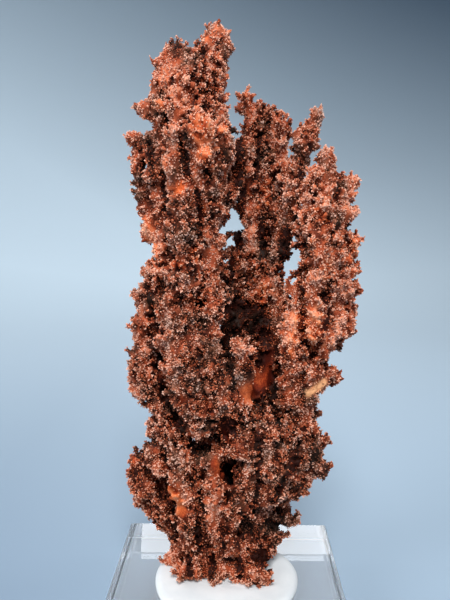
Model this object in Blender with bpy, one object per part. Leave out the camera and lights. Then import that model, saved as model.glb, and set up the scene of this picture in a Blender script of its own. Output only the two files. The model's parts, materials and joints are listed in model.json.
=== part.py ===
"""A branching limonite growth on its display stand.

The growth stands on a square of clear acrylic, set on a round white pad. It is parted at its main
forks: a rootstock with its foot, a lobe, a flank, a sprig and a fan low down, and three spires.
Each limb has a trunk or two with ribs round them, and fingers. Ribs and fingers carry pointed buds
up their whole length, and all of it is fused into one solid. Pieces that touch keep a gap of about
0.3 mm. +X is right, +Y is away from the front and +Z is up; the origin is the centre of the block's
underside.
"""

import math
import random
from collections import namedtuple

import bmesh
import bpy
from mathutils import Matrix, Vector
from mathutils.geometry import interpolate_bezier

MM = 0.001

# Driving dimensions, in millimetres.
BLOCK_SIDE = 31.75
BLOCK_THICK = 6.35
BLOCK_EDGE = 0.25
PAD_RADIUS = 9.8
PAD_THICK = 0.8
PAD_RIM = 0.4
GAP = 0.3

PAD_FLOOR = BLOCK_THICK + GAP
FOOT_LEVEL = PAD_FLOOR + PAD_THICK + GAP

# How the ribs run up a trunk: their offset and girth are shares of the trunk's radius.
RIB_COUNT = 6
RIB_OFFSET = 0.85
RIB_FLARE = 1.3
RIB_GIRTH = 0.5
RIB_THINNEST = 0.7
RIB_UNEVEN = 0.2
RIB_REACH = (0.55, 1.0)

# How the buds sit on a rib or a finger: one to each BUD_AREA of its skin, in millimetres and degrees.
BUD_AREA = 11.0
BUD_LEAN = 50.0
BUD_LEAN_SPREAD = 14.0
BUD_SIZES = (0.75, 1.3)
BUD_REACH = 0.95
BUD_BASE = 0.85
BUD_TIP = 0.42
BUD_NECK = 0.6
GOLDEN_ANGLE = math.radians(137.5)

# The buds that close a tip: the first stands straight up and each next one leans further out.
CROWN_COUNT = 3
CROWN_LEAN = 22.0
CROWN_EXTRA = 0.2

# How a limb is fused and parted from its neighbours, in millimetres and triangles.
FUSE_GRAIN = 0.28
ROUGH_TRIANGLES = 6000
CLEARANCE = 0.6
CLEARANCE_GRAIN = 0.45
CLEARANCE_TRIANGLES = 1500

SEED = 11

# A stem: its route from root to tip, and its radius at each point of the route.
Stem = namedtuple("Stem", "points radii")

# A limb: the triangles it may have, its trunks, which carry ribs, and its fingers, which carry buds alone.
Limb = namedtuple("Limb", "triangles trunks fingers")

LIMBS = {
    "rootstock": Limb(
        1300,
        trunks=[
            Stem([(-1.5, 2, 5), (-2, 2, 10.5), (-3, 1.5, 17.5), (-3.5, 1, 26)], [2.4, 2.6, 3.0, 2.6]),
            Stem([(-1.5, 5, 6), (-1, 8, 14), (-1, 7.5, 23.5), (0, 7, 31)], [2.2, 2.6, 2.6, 1.8]),
        ],
        fingers=[
            # the lumps of the foot, and the spur that lies beside it
            Stem([(-3.5, 2, 12.5), (-6.5, 2.5, 9.5), (-8, 2.5, 6.5)], [1.4, 1.4, 1.3]),
            Stem([(-3, 0, 12), (-5, -1, 9.5), (-5.5, -1, 6.5)], [1.2, 1.3, 1.2]),
            Stem([(-0.5, -1, 12.5), (-1.2, -1.5, 10), (-1, -1.6, 6.5)], [1.2, 1.4, 1.3]),
            Stem([(2, 0, 12.5), (2.8, -1.2, 10), (2.8, -1.5, 6.5)], [1.3, 1.5, 1.4]),
            Stem([(1.5, -0.5, 9.2), (4.3, -1, 8.6), (6.2, -1.2, 8.5)], [1.2, 1.0, 0.8]),
            # the left shoulder and its two small fingers
            Stem([(-5, 1, 21), (-7.5, 1, 27), (-8.5, 0.5, 31.5)], [2.0, 2.0, 1.3]),
            Stem([(-7, 0, 25.5), (-9, 0, 27), (-10, 0, 28)], [0.9, 0.6, 0.4]),
            Stem([(-7.5, 0, 23), (-9, 0, 24.5), (-10, 0, 25.5)], [0.9, 0.6, 0.4]),
            # three ribs up the front
            Stem([(-5, -1.5, 12), (-5.5, -3, 20), (-6, -3, 26)], [1.1, 1.3, 0.9]),
            Stem([(-1.5, -2.5, 13.5), (-1, -4, 20.5), (-1.5, -3.5, 26.5)], [1.2, 1.4, 0.9]),
            Stem([(0.5, -2, 12.5), (1.5, -2.5, 18), (2, -2.5, 22.5)], [1.1, 1.0, 0.8]),
        ],
    ),
    "right_fan": Limb(
        1150,
        trunks=[
            Stem([(2.5, 2, 11), (4.5, 1.5, 19), (6.5, 1, 26), (8, 1, 31.5)], [2.0, 2.3, 2.3, 1.4]),
            Stem([(4.5, 5, 12.5), (6.5, 6.5, 19.5), (8.5, 6, 27)], [1.7, 2.1, 1.6]),
        ],
        fingers=[
            # five fingers that reach out to the right, from the top down
            Stem([(9, 0, 24), (11.6, 0, 26), (12.7, 0, 27)], [1.3, 1.1, 0.8]),
            Stem([(9, 0, 21.5), (11.6, 0, 23.5), (12.8, 0, 24.2)], [1.1, 1.0, 0.7]),
            Stem([(8, 0, 19), (11, 0, 21.5), (12.5, 0, 22.3)], [1.2, 0.9, 0.6]),
            Stem([(5.5, 2, 14), (8, 2, 15.6), (9, 2, 16.2)], [1.5, 1.0, 0.8]),
            Stem([(4.5, 2, 9.8), (6.5, 2, 10.9), (7.7, 2, 11.6)], [1.2, 0.9, 0.5]),
            # ribs
            Stem([(9.3, -0.5, 25), (10.8, 0, 29), (11.1, 0, 32)], [1.3, 1.4, 1.1]),
            Stem([(5, -2.5, 18.5), (5.5, -3, 25), (5.5, -3, 31)], [1.2, 1.3, 0.9]),
            Stem([(2.5, -2.5, 18), (3, -3, 24.5), (3, -3, 29)], [1.0, 1.1, 0.9]),
            Stem([(6.5, -1.5, 18.5), (8, -2.5, 24), (8.5, -2, 29)], [1.2, 1.3, 1.0]),
        ],
    ),
    "left_lobe": Limb(
        450,
        trunks=[
            Stem([(-6.5, 4, 10.5), (-9.8, 5.5, 14), (-12.2, 6, 18), (-12.6, 6.5, 21.8)],
                 [1.3, 1.6, 1.7, 1.2]),
        ],
        fingers=[
            Stem([(-6.5, 6.5, 11.5), (-9, 8.5, 16), (-9.5, 8, 21)], [1.2, 1.6, 1.2]),
            Stem([(-8, 4, 14), (-9.5, 4, 18), (-10, 4.5, 22.5)], [1.2, 1.4, 1.0]),
        ],
    ),
    "left_flank": Limb(
        1400,
        trunks=[
            Stem([(-3, -0.5, 28), (-4.5, -1, 35), (-5.5, -1, 41.5), (-6, -1, 47)], [1.9, 2.5, 2.5, 1.7]),
            Stem([(-5, 3, 29), (-7, 4, 37), (-7.5, 4, 45)], [1.6, 2.2, 1.5]),
        ],
        fingers=[
            # the outer column on the left, and the finger over it
            Stem([(-6, -1, 26), (-8.8, -0.5, 30.5), (-10.9, 0, 36.5), (-10.8, 0, 42.5), (-10.6, 0, 47)],
                 [1.2, 1.6, 1.8, 1.6, 1.1]),
            Stem([(-8, 0, 45), (-8.9, 0, 48.5), (-10, 0, 50)], [1.4, 1.2, 0.8]),
            # the column on the right, and a rib up the front
            Stem([(-2, -2, 33), (-1.5, -2.5, 39.5), (-1.2, -2, 45), (-1.5, -1, 47.5)],
                 [1.4, 1.4, 1.2, 0.9]),
            Stem([(-5, -3, 31), (-6.5, -4, 39), (-7, -3.5, 45), (-6.5, -3, 48)], [1.1, 1.3, 1.1, 0.8]),
            # the apron below, and its fork
            Stem([(-3, -2.5, 29), (-3.5, -3, 32), (-3, -3, 34.5)], [1.2, 1.3, 1.0]),
            Stem([(1.5, -1.5, 26.5), (0, -2.5, 31), (-0.5, -3, 34.5), (-0.5, -3, 37.5)],
                 [1.1, 1.3, 1.2, 0.9]),
        ],
    ),
    "centre_sprig": Limb(
        400,
        trunks=[],
        fingers=[
            Stem([(1.5, -1, 28), (2, -2.5, 33), (2.5, -3.5, 37.5), (3, -4, 40)], [0.9, 1.2, 1.7, 1.4]),
            Stem([(1.5, -2, 32), (0.7, -3, 35.5), (1, -3.5, 38.5)], [0.9, 1.0, 0.8]),
            Stem([(2, -1.5, 31), (3.5, -2.5, 34.5), (4, -3, 37)], [0.9, 1.0, 0.8]),
        ],
    ),
    "left_spire": Limb(
        1850,
        trunks=[
            Stem([(-3.5, 0.5, 45), (-4, 0.5, 53.5), (-4, 0.5, 61), (-5, 0.5, 67.5), (-5.5, 1, 72.5)],
                 [2.2, 2.5, 2.6, 2.5, 1.5]),
            Stem([(-4, 4, 45.5), (-5, 5.5, 56), (-5, 5.5, 65), (-4.5, 4.5, 71.5)], [1.7, 2.1, 2.1, 1.4]),
        ],
        fingers=[
            # the two peaks: the tall one stands behind
            Stem([(-3, 3.5, 65), (-2, 4.5, 71.5), (-1.6, 5, 75.5), (-2, 5, 78.8)], [1.8, 2.0, 2.3, 1.7]),
            Stem([(-5, 1.5, 69.5), (-5.5, 1.5, 73.5), (-5.8, 1.5, 75.8)], [1.9, 1.8, 1.4]),
            # three steps down the left side, and the finger that stands apart from it
            Stem([(-6, 0, 69), (-7.5, 0, 72.8), (-8, 0, 74.8)], [1.3, 1.2, 0.8]),
            Stem([(-6.5, 0, 67), (-8.2, 0, 70.3), (-9, 0, 72)], [1.2, 1.0, 0.8]),
            Stem([(-7, -1, 64.5), (-8.9, -1, 67.5), (-9.8, -1, 69.3)], [1.2, 1.2, 0.9]),
            Stem([(-7.5, 1, 50.5), (-9.4, 1, 56.5), (-10.7, 1, 61), (-11.3, 1, 65.6)],
                 [1.4, 1.2, 1.0, 0.9]),
            # the right side
            Stem([(-2.2, 0, 57), (-0.6, -0.3, 63.5), (-0.3, 0, 68)], [1.3, 1.3, 1.0]),
            Stem([(-2.8, 0, 48), (-1.6, 0, 54), (-0.7, 0, 61)], [1.4, 1.3, 1.2]),
            # ribs up the front
            Stem([(-3.5, -2.5, 58.5), (-3, -3.5, 63.5), (-2.5, -3.5, 67)], [1.3, 1.4, 0.9]),
            Stem([(-6, 0, 47), (-7.8, 0, 53.5), (-8, -0.5, 59), (-8.5, -0.5, 64)], [1.3, 1.2, 1.1, 0.9]),
            Stem([(-5, -2.5, 47), (-5.5, -3.5, 56), (-6, -3.5, 63), (-6, -3, 69.5)], [1.2, 1.2, 1.3, 1.0]),
        ],
    ),
    "middle_spire": Limb(
        1300,
        trunks=[
            Stem([(2.5, 4, 29), (4, 5, 38), (5, 7, 48), (5.5, 8, 56.5), (6, 8, 63.5), (6, 8, 68)],
                 [2.0, 2.0, 1.8, 1.9, 1.7, 1.1]),
            Stem([(3, 8, 36), (4.5, 10.5, 45), (5, 11, 54.5), (5.5, 10.5, 64)], [1.3, 1.6, 1.8, 1.2]),
        ],
        fingers=[
            # four peaks, from left to right
            Stem([(2.7, 5, 38), (3.2, 7, 50.5), (3.2, 7, 57), (2.9, 7, 64), (3, 7, 68.5), (2.7, 7, 72.4)],
                 [1.3, 1.2, 1.2, 1.2, 1.0, 0.9]),
            Stem([(5.5, 8, 60), (5.4, 8, 66), (5.1, 8, 70)], [1.9, 1.8, 1.5]),
            Stem([(6.9, 8, 60), (7.5, 8, 65), (7.3, 8, 68.4)], [1.4, 1.3, 0.9]),
            Stem([(6, 5.5, 44), (6.4, 5.5, 50), (7.8, 4.5, 56.5), (8.8, 4, 61.5), (9.7, 4, 65),
                  (11.3, 4, 69.2)],
                 [1.1, 1.2, 1.3, 1.2, 1.1, 0.7]),
            # a low rib on the left, then a bud and a column on the right
            Stem([(2.2, 6.5, 57.5), (1.6, 6, 61.5), (1.9, 6, 65.5)], [0.9, 1.0, 0.8]),
            Stem([(9.2, 3.5, 62), (10.5, 3.5, 64.5), (11.2, 3.5, 65.6)], [0.9, 0.7, 0.5]),
            Stem([(6, 6.5, 42), (5.8, 6.5, 48), (7.5, 6, 54), (8.6, 6, 58), (9.4, 6, 62)],
                 [1.3, 1.1, 1.3, 1.4, 1.3]),
            # the buttress on the left, at the back of the fork
            Stem([(1, 4.5, 31), (0.4, 5, 40), (1.2, 6, 50.5)], [1.6, 1.6, 1.2]),
            # the stout rib low on the right, beside the hollow
            Stem([(6, 3, 28), (6.5, 3.5, 35), (7.2, 4, 42), (6.8, 4.5, 47)], [1.8, 1.8, 1.6, 1.3]),
        ],
    ),
    "right_spire": Limb(
        1400,
        trunks=[
            Stem([(9.5, 0.5, 31), (11, 0, 40.5), (12.3, 0, 47.5), (12.5, 0, 54), (12.5, 0, 59),
                  (12.5, 0, 62)],
                 [1.5, 2.0, 2.3, 2.1, 1.6, 0.9]),
            Stem([(10, 4, 34), (12.5, 4.5, 42), (13, 4.5, 49), (13, 4, 57)], [1.4, 1.9, 2.0, 1.3]),
        ],
        fingers=[
            # the peak, and the fingers down the right side
            Stem([(12.4, 0, 59.5), (12.3, 0, 62.5), (12.4, 0, 63.8)], [1.2, 1.1, 0.9]),
            Stem([(13.5, 0.5, 58.5), (14.2, 0.5, 60.5), (14.4, 0.5, 61.6)], [1.0, 0.8, 0.6]),
            Stem([(13.5, 0, 57), (15.2, 0, 59.3), (16.2, 0, 60.4)], [1.2, 1.0, 0.8]),
            Stem([(13.5, -1, 54), (14.8, -1, 55.8), (15.3, -1, 56.4)], [1.1, 0.8, 0.6]),
            Stem([(13.5, 0, 50), (15.5, 0, 52.3), (16.2, 0, 53.4)], [1.5, 1.3, 0.9]),
            Stem([(13.5, 0, 46.5), (15.4, 0, 48.9), (16.1, 0, 49.8)], [1.3, 1.2, 0.8]),
            Stem([(13.5, 0, 43.8), (15.2, 0, 45.7), (15.7, 0, 46.4)], [1.3, 1.1, 0.8]),
            Stem([(11.5, -1, 39), (14, -1.5, 42), (15.7, -1.5, 43.2)], [1.3, 1.3, 1.1]),
            Stem([(10, 0, 33.2), (12.2, 0, 35), (13.8, 0, 36.6)], [1.2, 1.0, 0.8]),
            # ribs up the left side and the front
            Stem([(8, -1.5, 32), (8.2, -2, 39), (8.5, -2.5, 44), (9.1, -2, 48)], [1.2, 1.3, 1.2, 0.9]),
            Stem([(9.3, 0.5, 41), (9.9, 0.5, 49), (9.7, 0.5, 54), (10.2, 0.5, 60)], [1.3, 1.2, 1.3, 1.0]),
            Stem([(11, -2.5, 41), (11, -3.5, 47), (11.5, -3.5, 52.5), (11.5, -3, 58)],
                 [1.2, 1.3, 1.2, 0.9]),
        ],
    ),
}

# Colours are linear RGB.
RUST = (0.16, 0.045, 0.025)
ORANGE = (0.33, 0.085, 0.040)
PINK_BROWN = (0.22, 0.070, 0.042)
LIMB_COLOURS = {"left_spire": ORANGE, "right_spire": ORANGE, "left_lobe": PINK_BROWN}
CLEAR = (0.80, 0.88, 0.95)
WHITE = (0.85, 0.86, 0.86)


def clear_scene():
    for obj in list(bpy.data.objects):
        bpy.data.objects.remove(obj, do_unlink=True)


def material(name, colour, roughness, alpha=1.0, transmission=0.0):
    made = bpy.data.materials.new(name)
    made.use_nodes = True
    made.diffuse_color = (*colour, alpha)
    shader = made.node_tree.nodes["Principled BSDF"]
    shader.inputs["Base Color"].default_value = (*colour, 1.0)
    shader.inputs["Roughness"].default_value = roughness
    shader.inputs["Metallic"].default_value = 0.0
    shader.inputs["Transmission Weight"].default_value = transmission
    return made


def add_object(name, mesh):
    obj = bpy.data.objects.new(name, mesh)
    bpy.context.scene.collection.objects.link(obj)
    return obj


def remove(obj):
    bpy.data.objects.remove(obj, do_unlink=True)


def apply_modifiers(obj):
    """The object's mesh with its modifiers worked in, and none left on it."""
    evaluated = obj.evaluated_get(bpy.context.evaluated_depsgraph_get())
    mesh = bpy.data.meshes.new_from_object(evaluated)
    obj.modifiers.clear()
    obj.data = mesh
    return obj


def knots_of(points):
    """A smooth line through the points, as Bezier knots: (handle before, point, handle after)."""
    knots = []
    last = len(points) - 1
    for i, point in enumerate(points):
        slope = (points[min(i + 1, last)] - points[max(i - 1, 0)]) / 6
        knots.append((point - slope, point, point + slope))
    return knots


def rib_of(trunk, angle, reach):
    """A stem that follows a trunk up one side of it and leaves it at the tip, reach of the way up."""
    points, radii = [], []
    centres = [Vector(p) for p in trunk.points]
    centres[-1] = centres[-2].lerp(centres[-1], reach)
    for i, (centre, radius) in enumerate(zip(centres, trunk.radii)):
        last = i == len(centres) - 1
        climb = centres[max(i, 1)] - centres[max(i, 1) - 1]
        out = Vector((math.cos(angle), math.sin(angle), 0)).project(climb)
        side = (Vector((math.cos(angle), math.sin(angle), 0)) - out).normalized()
        points.append(centre + side * (radius * RIB_OFFSET * (RIB_FLARE if last else 1)))
        radii.append(max(radius * RIB_GIRTH, RIB_THINNEST))
    return Stem(points, radii)


def places_along(stem):
    """Where the buds leave a stem, as (place, direction, radius); a stout stem has them closer together."""
    knots = knots_of([Vector(p) for p in stem.points])
    places = []
    for i in range(len(knots) - 1):
        start, end = knots[i], knots[i + 1]
        step = BUD_AREA / (math.tau * (stem.radii[i] + stem.radii[i + 1]) / 2)
        count = max(1, round((end[1] - start[1]).length / step))
        line = interpolate_bezier(start[1], start[2], end[0], end[1], count + 1)
        for k in range(count):
            share = k / count
            radius = stem.radii[i] * (1 - share) + stem.radii[i + 1] * share
            places.append((line[k], (line[k + 1] - line[k]).normalized(), radius))
    return places


def add_spline(curve, points, radii):
    spline = curve.splines.new("BEZIER")
    spline.resolution_u = 4
    spline.bezier_points.add(len(points) - 1)
    for knot, (before, point, after), radius in zip(spline.bezier_points, knots_of(points), radii):
        knot.handle_left_type = knot.handle_right_type = "FREE"
        knot.handle_left, knot.co, knot.handle_right = before * MM, point * MM, after * MM
        knot.radius = radius


def add_bud(curve, place, direction, side, radius, lean, size):
    """One pointed bud that rises from a stem's middle, through its skin."""
    lean = math.radians(lean)
    heading = direction * math.cos(lean) + side * math.sin(lean)
    length = radius / max(math.sin(lean), BUD_NECK) + BUD_REACH * size
    route = [place, place + heading * (length * BUD_NECK), place + heading * length]
    add_spline(curve, route, [BUD_BASE * size, BUD_BASE * size, BUD_TIP])


def side_of(direction, turn):
    side = direction.orthogonal().normalized()
    side.rotate(Matrix.Rotation(turn, 3, direction))
    return side


def add_buds(curve, stem, rng):
    """Buds that lean up and out of a stem, each turned from the last by the golden angle."""
    turn = rng.uniform(0, math.tau)
    for place, direction, radius in places_along(stem):
        turn += GOLDEN_ANGLE
        side = side_of(direction, turn)
        lean = BUD_LEAN + rng.uniform(-BUD_LEAN_SPREAD, BUD_LEAN_SPREAD)
        add_bud(curve, place, direction, side, radius, lean, rng.uniform(*BUD_SIZES))


def add_crown(curve, stem, rng):
    """The buds that close a stem's tip."""
    end = Vector(stem.points[-1])
    climb = (end - Vector(stem.points[-2])).normalized()
    turn = rng.uniform(0, math.tau)
    for k in range(CROWN_COUNT):
        side = side_of(climb, turn + math.tau * k / CROWN_COUNT)
        add_bud(curve, end, climb, side, 0, CROWN_LEAN * k, stem.radii[-1] + CROWN_EXTRA)


def stems_of(limb, rng):
    """Every stem of a limb that carries buds: the ribs round each trunk, then the fingers."""
    stems = []
    for trunk in limb.trunks:
        turn = rng.uniform(0, math.tau)
        for k in range(RIB_COUNT):
            angle = turn + math.tau * (k + rng.uniform(-RIB_UNEVEN, RIB_UNEVEN)) / RIB_COUNT
            stems.append(rib_of(trunk, angle, rng.uniform(*RIB_REACH)))
    return stems + limb.fingers


def grow(name, limb, rng):
    """The stems and their buds as a mesh of closed tubes that run into each other."""
    curve = bpy.data.curves.new(name, "CURVE")
    curve.dimensions = "3D"
    curve.bevel_depth = MM
    curve.bevel_resolution = 1
    curve.use_fill_caps = True
    for trunk in limb.trunks:
        add_spline(curve, [Vector(p) for p in trunk.points], trunk.radii)
    for stem in stems_of(limb, rng):
        add_spline(curve, [Vector(p) for p in stem.points], stem.radii)
        add_buds(curve, stem, rng)
        add_crown(curve, stem, rng)
    wires = add_object(name, curve)
    evaluated = wires.evaluated_get(bpy.context.evaluated_depsgraph_get())
    mesh = bpy.data.meshes.new_from_object(evaluated)
    remove(wires)
    return add_object(name, mesh)


def fuse(obj, grain):
    remesh = obj.modifiers.new("fuse", "REMESH")
    remesh.mode = "VOXEL"
    remesh.voxel_size = grain * MM
    return apply_modifiers(obj)


def thin_to(obj, triangles):
    """Fewer, larger triangles, with the forms kept."""
    obj.data.calc_loop_triangles()
    count = len(obj.data.loop_triangles)
    if count <= triangles:
        return obj
    decimate = obj.modifiers.new("thin", "DECIMATE")
    decimate.ratio = triangles / count
    decimate.use_collapse_triangulate = True
    return apply_modifiers(obj)


def keep_largest(obj):
    """Drops the loose crumbs that a cut leaves."""
    shape = bmesh.new()
    shape.from_mesh(obj.data)
    unseen = set(shape.verts)
    islands = []
    while unseen:
        island, front = set(), [unseen.pop()]
        while front:
            vert = front.pop()
            island.add(vert)
            for edge in vert.link_edges:
                other = edge.other_vert(vert)
                if other in unseen:
                    unseen.remove(other)
                    front.append(other)
        islands.append(island)
    islands.sort(key=len)
    crumbs = [vert for island in islands[:-1] for vert in island]
    bmesh.ops.delete(shape, geom=crumbs, context="VERTS")
    shape.to_mesh(obj.data)
    shape.free()
    return obj


def clearance_of(obj):
    """The limb swollen by the clearance: what its neighbours are cut back by."""
    shell = add_object(obj.name + "_clearance", obj.data.copy())
    swell = shell.modifiers.new("swell", "DISPLACE")
    swell.strength = CLEARANCE * MM
    swell.mid_level = 0.0
    apply_modifiers(shell)
    fuse(shell, CLEARANCE_GRAIN)
    thin_to(shell, CLEARANCE_TRIANGLES)
    return hide_helper(shell)


def hide_helper(obj):
    obj.hide_render = True
    obj.display_type = "WIRE"
    return obj


def boxes_meet(a, b):
    def box(obj):
        corners = [Vector(c) for c in obj.bound_box]
        return [(min(c[k] for c in corners), max(c[k] for c in corners)) for k in range(3)]

    return all(lo_a < hi_b and lo_b < hi_a for (lo_a, hi_a), (lo_b, hi_b) in zip(box(a), box(b)))


def cut(obj, cutter):
    boolean = obj.modifiers.new("cut_" + cutter.name, "BOOLEAN")
    boolean.operation = "DIFFERENCE"
    boolean.object = cutter


def foot_cutter():
    """Everything below the level that the foot stands on."""
    shape = bmesh.new()
    bmesh.ops.create_cube(shape, size=1.0)
    bmesh.ops.scale(shape, vec=Vector((60, 60, 20)) * MM, verts=shape.verts)
    bmesh.ops.translate(shape, vec=Vector((0, 0, FOOT_LEVEL - 10)) * MM, verts=shape.verts)
    mesh = bpy.data.meshes.new("foot_level")
    shape.to_mesh(mesh)
    shape.free()
    return hide_helper(add_object("foot_level", mesh))


def make_limb(name, limb, clearances, floor, rng):
    obj = fuse(grow(name, limb, rng), FUSE_GRAIN)
    thin_to(obj, ROUGH_TRIANGLES)
    bpy.context.view_layer.update()
    for other in clearances:
        if boxes_meet(obj, other):
            cut(obj, other)
    apply_modifiers(obj)
    keep_largest(obj)
    fuse(obj, FUSE_GRAIN)
    thin_to(obj, limb.triangles)
    keep_largest(obj)
    cut(obj, floor)
    apply_modifiers(obj)
    keep_largest(obj)
    obj.data.materials.clear()
    colour = LIMB_COLOURS.get(name, RUST)
    obj.data.materials.append(material(name + "_limonite", colour, 0.85))
    obj.data.shade_flat()
    return obj


def make_growth():
    rng = random.Random(SEED)
    floor = foot_cutter()
    clearances = []
    for name, limb in LIMBS.items():
        obj = make_limb(name, limb, clearances, floor, rng)
        clearances.append(clearance_of(obj))


def make_block():
    shape = bmesh.new()
    bmesh.ops.create_cube(shape, size=1.0)
    bmesh.ops.scale(shape, vec=Vector((BLOCK_SIDE, BLOCK_SIDE, BLOCK_THICK)) * MM, verts=shape.verts)
    bmesh.ops.translate(shape, vec=Vector((0, 0, BLOCK_THICK / 2)) * MM, verts=shape.verts)
    mesh = bpy.data.meshes.new("acrylic_block")
    shape.to_mesh(mesh)
    shape.free()
    block = add_object("acrylic_block", mesh)
    bevel = block.modifiers.new("polished_edges", "BEVEL")
    bevel.width = BLOCK_EDGE * MM
    bevel.segments = 2
    mesh.materials.append(material("clear_acrylic", CLEAR, 0.05, alpha=0.35, transmission=1.0))
    return block


def make_pad():
    """A round pad turned from its half section, with a soft upper rim."""
    steps = 4
    section = [(0, PAD_FLOOR), (PAD_RADIUS, PAD_FLOOR)]
    for k in range(steps + 1):
        angle = math.pi / 2 * k / steps
        section.append((
            PAD_RADIUS - PAD_RIM * (1 - math.cos(angle)),
            PAD_FLOOR + PAD_THICK - PAD_RIM * (1 - math.sin(angle)),
        ))
    section.append((0, PAD_FLOOR + PAD_THICK))
    shape = bmesh.new()
    verts = [shape.verts.new(Vector((x, 0, z)) * MM) for x, z in section]
    edges = [shape.edges.new(pair) for pair in zip(verts, verts[1:])]
    bmesh.ops.spin(shape, geom=verts + edges, axis=(0, 0, 1), cent=(0, 0, 0), dvec=(0, 0, 0),
                   angle=math.tau, steps=40, use_merge=True)
    bmesh.ops.remove_doubles(shape, verts=shape.verts, dist=1e-3 * MM)
    bmesh.ops.recalc_face_normals(shape, faces=shape.faces)
    mesh = bpy.data.meshes.new("white_pad")
    shape.to_mesh(mesh)
    shape.free()
    mesh.shade_smooth()
    mesh.set_sharp_from_angle(angle=math.radians(40))
    mesh.materials.append(material("white_putty", WHITE, 0.6))
    return add_object("white_pad", mesh)


clear_scene()
make_block()
make_pad()
make_growth()
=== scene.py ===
# %% [markdown]
# # A limonite growth on its display block
#
# Limonite is natural rust, a soft brown mix of hydrated iron oxides. This one grew as a bush of upright
# fingers, and every finger is crusted with granules a third of a millimetre across. A collector has
# pressed its foot into a round of white putty on a square of clear acrylic.
#
# The solids of the whole thing are ready in the frame. They give the outline, so each step below takes a
# limb's solid, softens it into a core, and grows the crust on that.

# %% Load the frame and measure it
import json
import math
import random

import bmesh
import bpy
import numpy as np
from mathutils import Matrix, Vector
from mathutils.bvhtree import BVHTree

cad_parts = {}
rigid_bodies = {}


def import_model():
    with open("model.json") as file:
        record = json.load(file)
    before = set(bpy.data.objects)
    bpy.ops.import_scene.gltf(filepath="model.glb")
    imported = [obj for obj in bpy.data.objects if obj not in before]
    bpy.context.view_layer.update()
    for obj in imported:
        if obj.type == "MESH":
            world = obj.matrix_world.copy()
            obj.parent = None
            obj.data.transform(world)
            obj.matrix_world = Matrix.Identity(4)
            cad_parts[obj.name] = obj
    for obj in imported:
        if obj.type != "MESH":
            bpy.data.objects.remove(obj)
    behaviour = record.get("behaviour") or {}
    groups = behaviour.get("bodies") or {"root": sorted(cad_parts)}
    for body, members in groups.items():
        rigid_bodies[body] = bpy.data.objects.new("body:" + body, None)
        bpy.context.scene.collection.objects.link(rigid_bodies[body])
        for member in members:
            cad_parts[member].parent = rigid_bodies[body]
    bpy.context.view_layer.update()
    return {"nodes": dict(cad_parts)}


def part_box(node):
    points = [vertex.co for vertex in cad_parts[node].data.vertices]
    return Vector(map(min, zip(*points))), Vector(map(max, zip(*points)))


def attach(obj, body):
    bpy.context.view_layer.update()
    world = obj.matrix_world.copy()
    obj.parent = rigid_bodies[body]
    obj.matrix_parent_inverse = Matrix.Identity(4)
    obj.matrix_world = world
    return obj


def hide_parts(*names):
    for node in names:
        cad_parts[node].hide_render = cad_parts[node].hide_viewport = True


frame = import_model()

MM = 0.001
LIMBS = [
    "rootstock", "right_fan", "left_lobe", "left_flank",
    "centre_sprig", "left_spire", "middle_spire", "right_spire",
]
BLOCK_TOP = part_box("acrylic_block")[1][2]
FOOT_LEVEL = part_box("rootstock")[0][2]
print("block top", round(BLOCK_TOP / MM, 2), "mm, foot at", round(FOOT_LEVEL / MM, 2), "mm")

# %% [markdown]
# ## The camera
#
# A small thing is looked at from close by, so the near corners of the block spread apart. The camera
# stands 78 mm in front of the growth, a little above its middle, and tips down by about eight degrees.

# %% Place the camera
CAMERA_PLACE = Vector((1.43, -77.6, 57.25)) * MM
CAMERA_DIP = 8.43  # degrees below level
CAMERA_TURN = 1.17  # degrees to the left
LENS = 36.6
scene = bpy.context.scene
camera = bpy.data.objects.new("camera", bpy.data.cameras.new("camera"))
scene.collection.objects.link(camera)
camera.location = CAMERA_PLACE
camera.rotation_euler = (math.radians(90 - CAMERA_DIP), 0, math.radians(CAMERA_TURN))
camera.data.lens = LENS
camera.data.sensor_width = 36
camera.data.clip_start = 5 * MM
scene.camera = camera
scene.view_settings.view_transform = "Standard"
print("camera", round((camera.location - Vector((0, 0, 45 * MM))).length / MM), "mm from the growth")

# %% [markdown]
# ## Small helpers for node trees and meshes
#
# A node often has several sockets of one name, of which only one is in use. These helpers find that one
# by its name, so the trees below read like sentences. The others turn a mesh into the one that a tree or
# a few modifiers make of it, on an object that is removed again.


# %% Find sockets by name and join them
def socket(sockets, name):
    """The socket of this name that is in use."""
    return next(s for s in sockets if s.name == name and s.enabled)


def wire(tree, source, output, target, entry):
    tree.links.new(socket(source.outputs, output), socket(target.inputs, entry))


def feed(tree, entry, value):
    """Put a number, a colour or another node's output into an input."""
    if isinstance(value, bpy.types.NodeSocket):
        tree.links.new(value, entry)
    else:
        entry.default_value = value


def feed_all(tree, made, **values):
    """Feed a node's inputs by name; spaces in a name are written as _."""
    for name, value in values.items():
        feed(tree, socket(made.inputs, name.replace("_", " ")), value)


def node(tree, kind, settings=None, **values):
    """A new node with its settings and with what is fed to its inputs."""
    made = tree.nodes.new(kind)
    for name, value in (settings or {}).items():
        setattr(made, name, value)
    feed_all(tree, made, **values)
    return made


def maths(tree, operation, a, b, clamp=False):
    """A Math node on a and b, each a number or an output socket; returns its output."""
    made = node(tree, "ShaderNodeMath", {"operation": operation, "use_clamp": clamp})
    for entry, value in zip(made.inputs, (a, b)):
        feed(tree, entry, value)
    return made.outputs[0]


def plus(tree, a, b, clamp=False):
    return maths(tree, "ADD", a, b, clamp)


def minus(tree, a, b, clamp=False):
    return maths(tree, "SUBTRACT", a, b, clamp)


def times(tree, a, b, clamp=False):
    return maths(tree, "MULTIPLY", a, b, clamp)


def named(tree, name):
    """A mesh attribute, read in a geometry tree."""
    made = node(tree, "GeometryNodeInputNamedAttribute", {"data_type": "FLOAT"}, Name=name)
    return socket(made.outputs, "Attribute")


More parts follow.
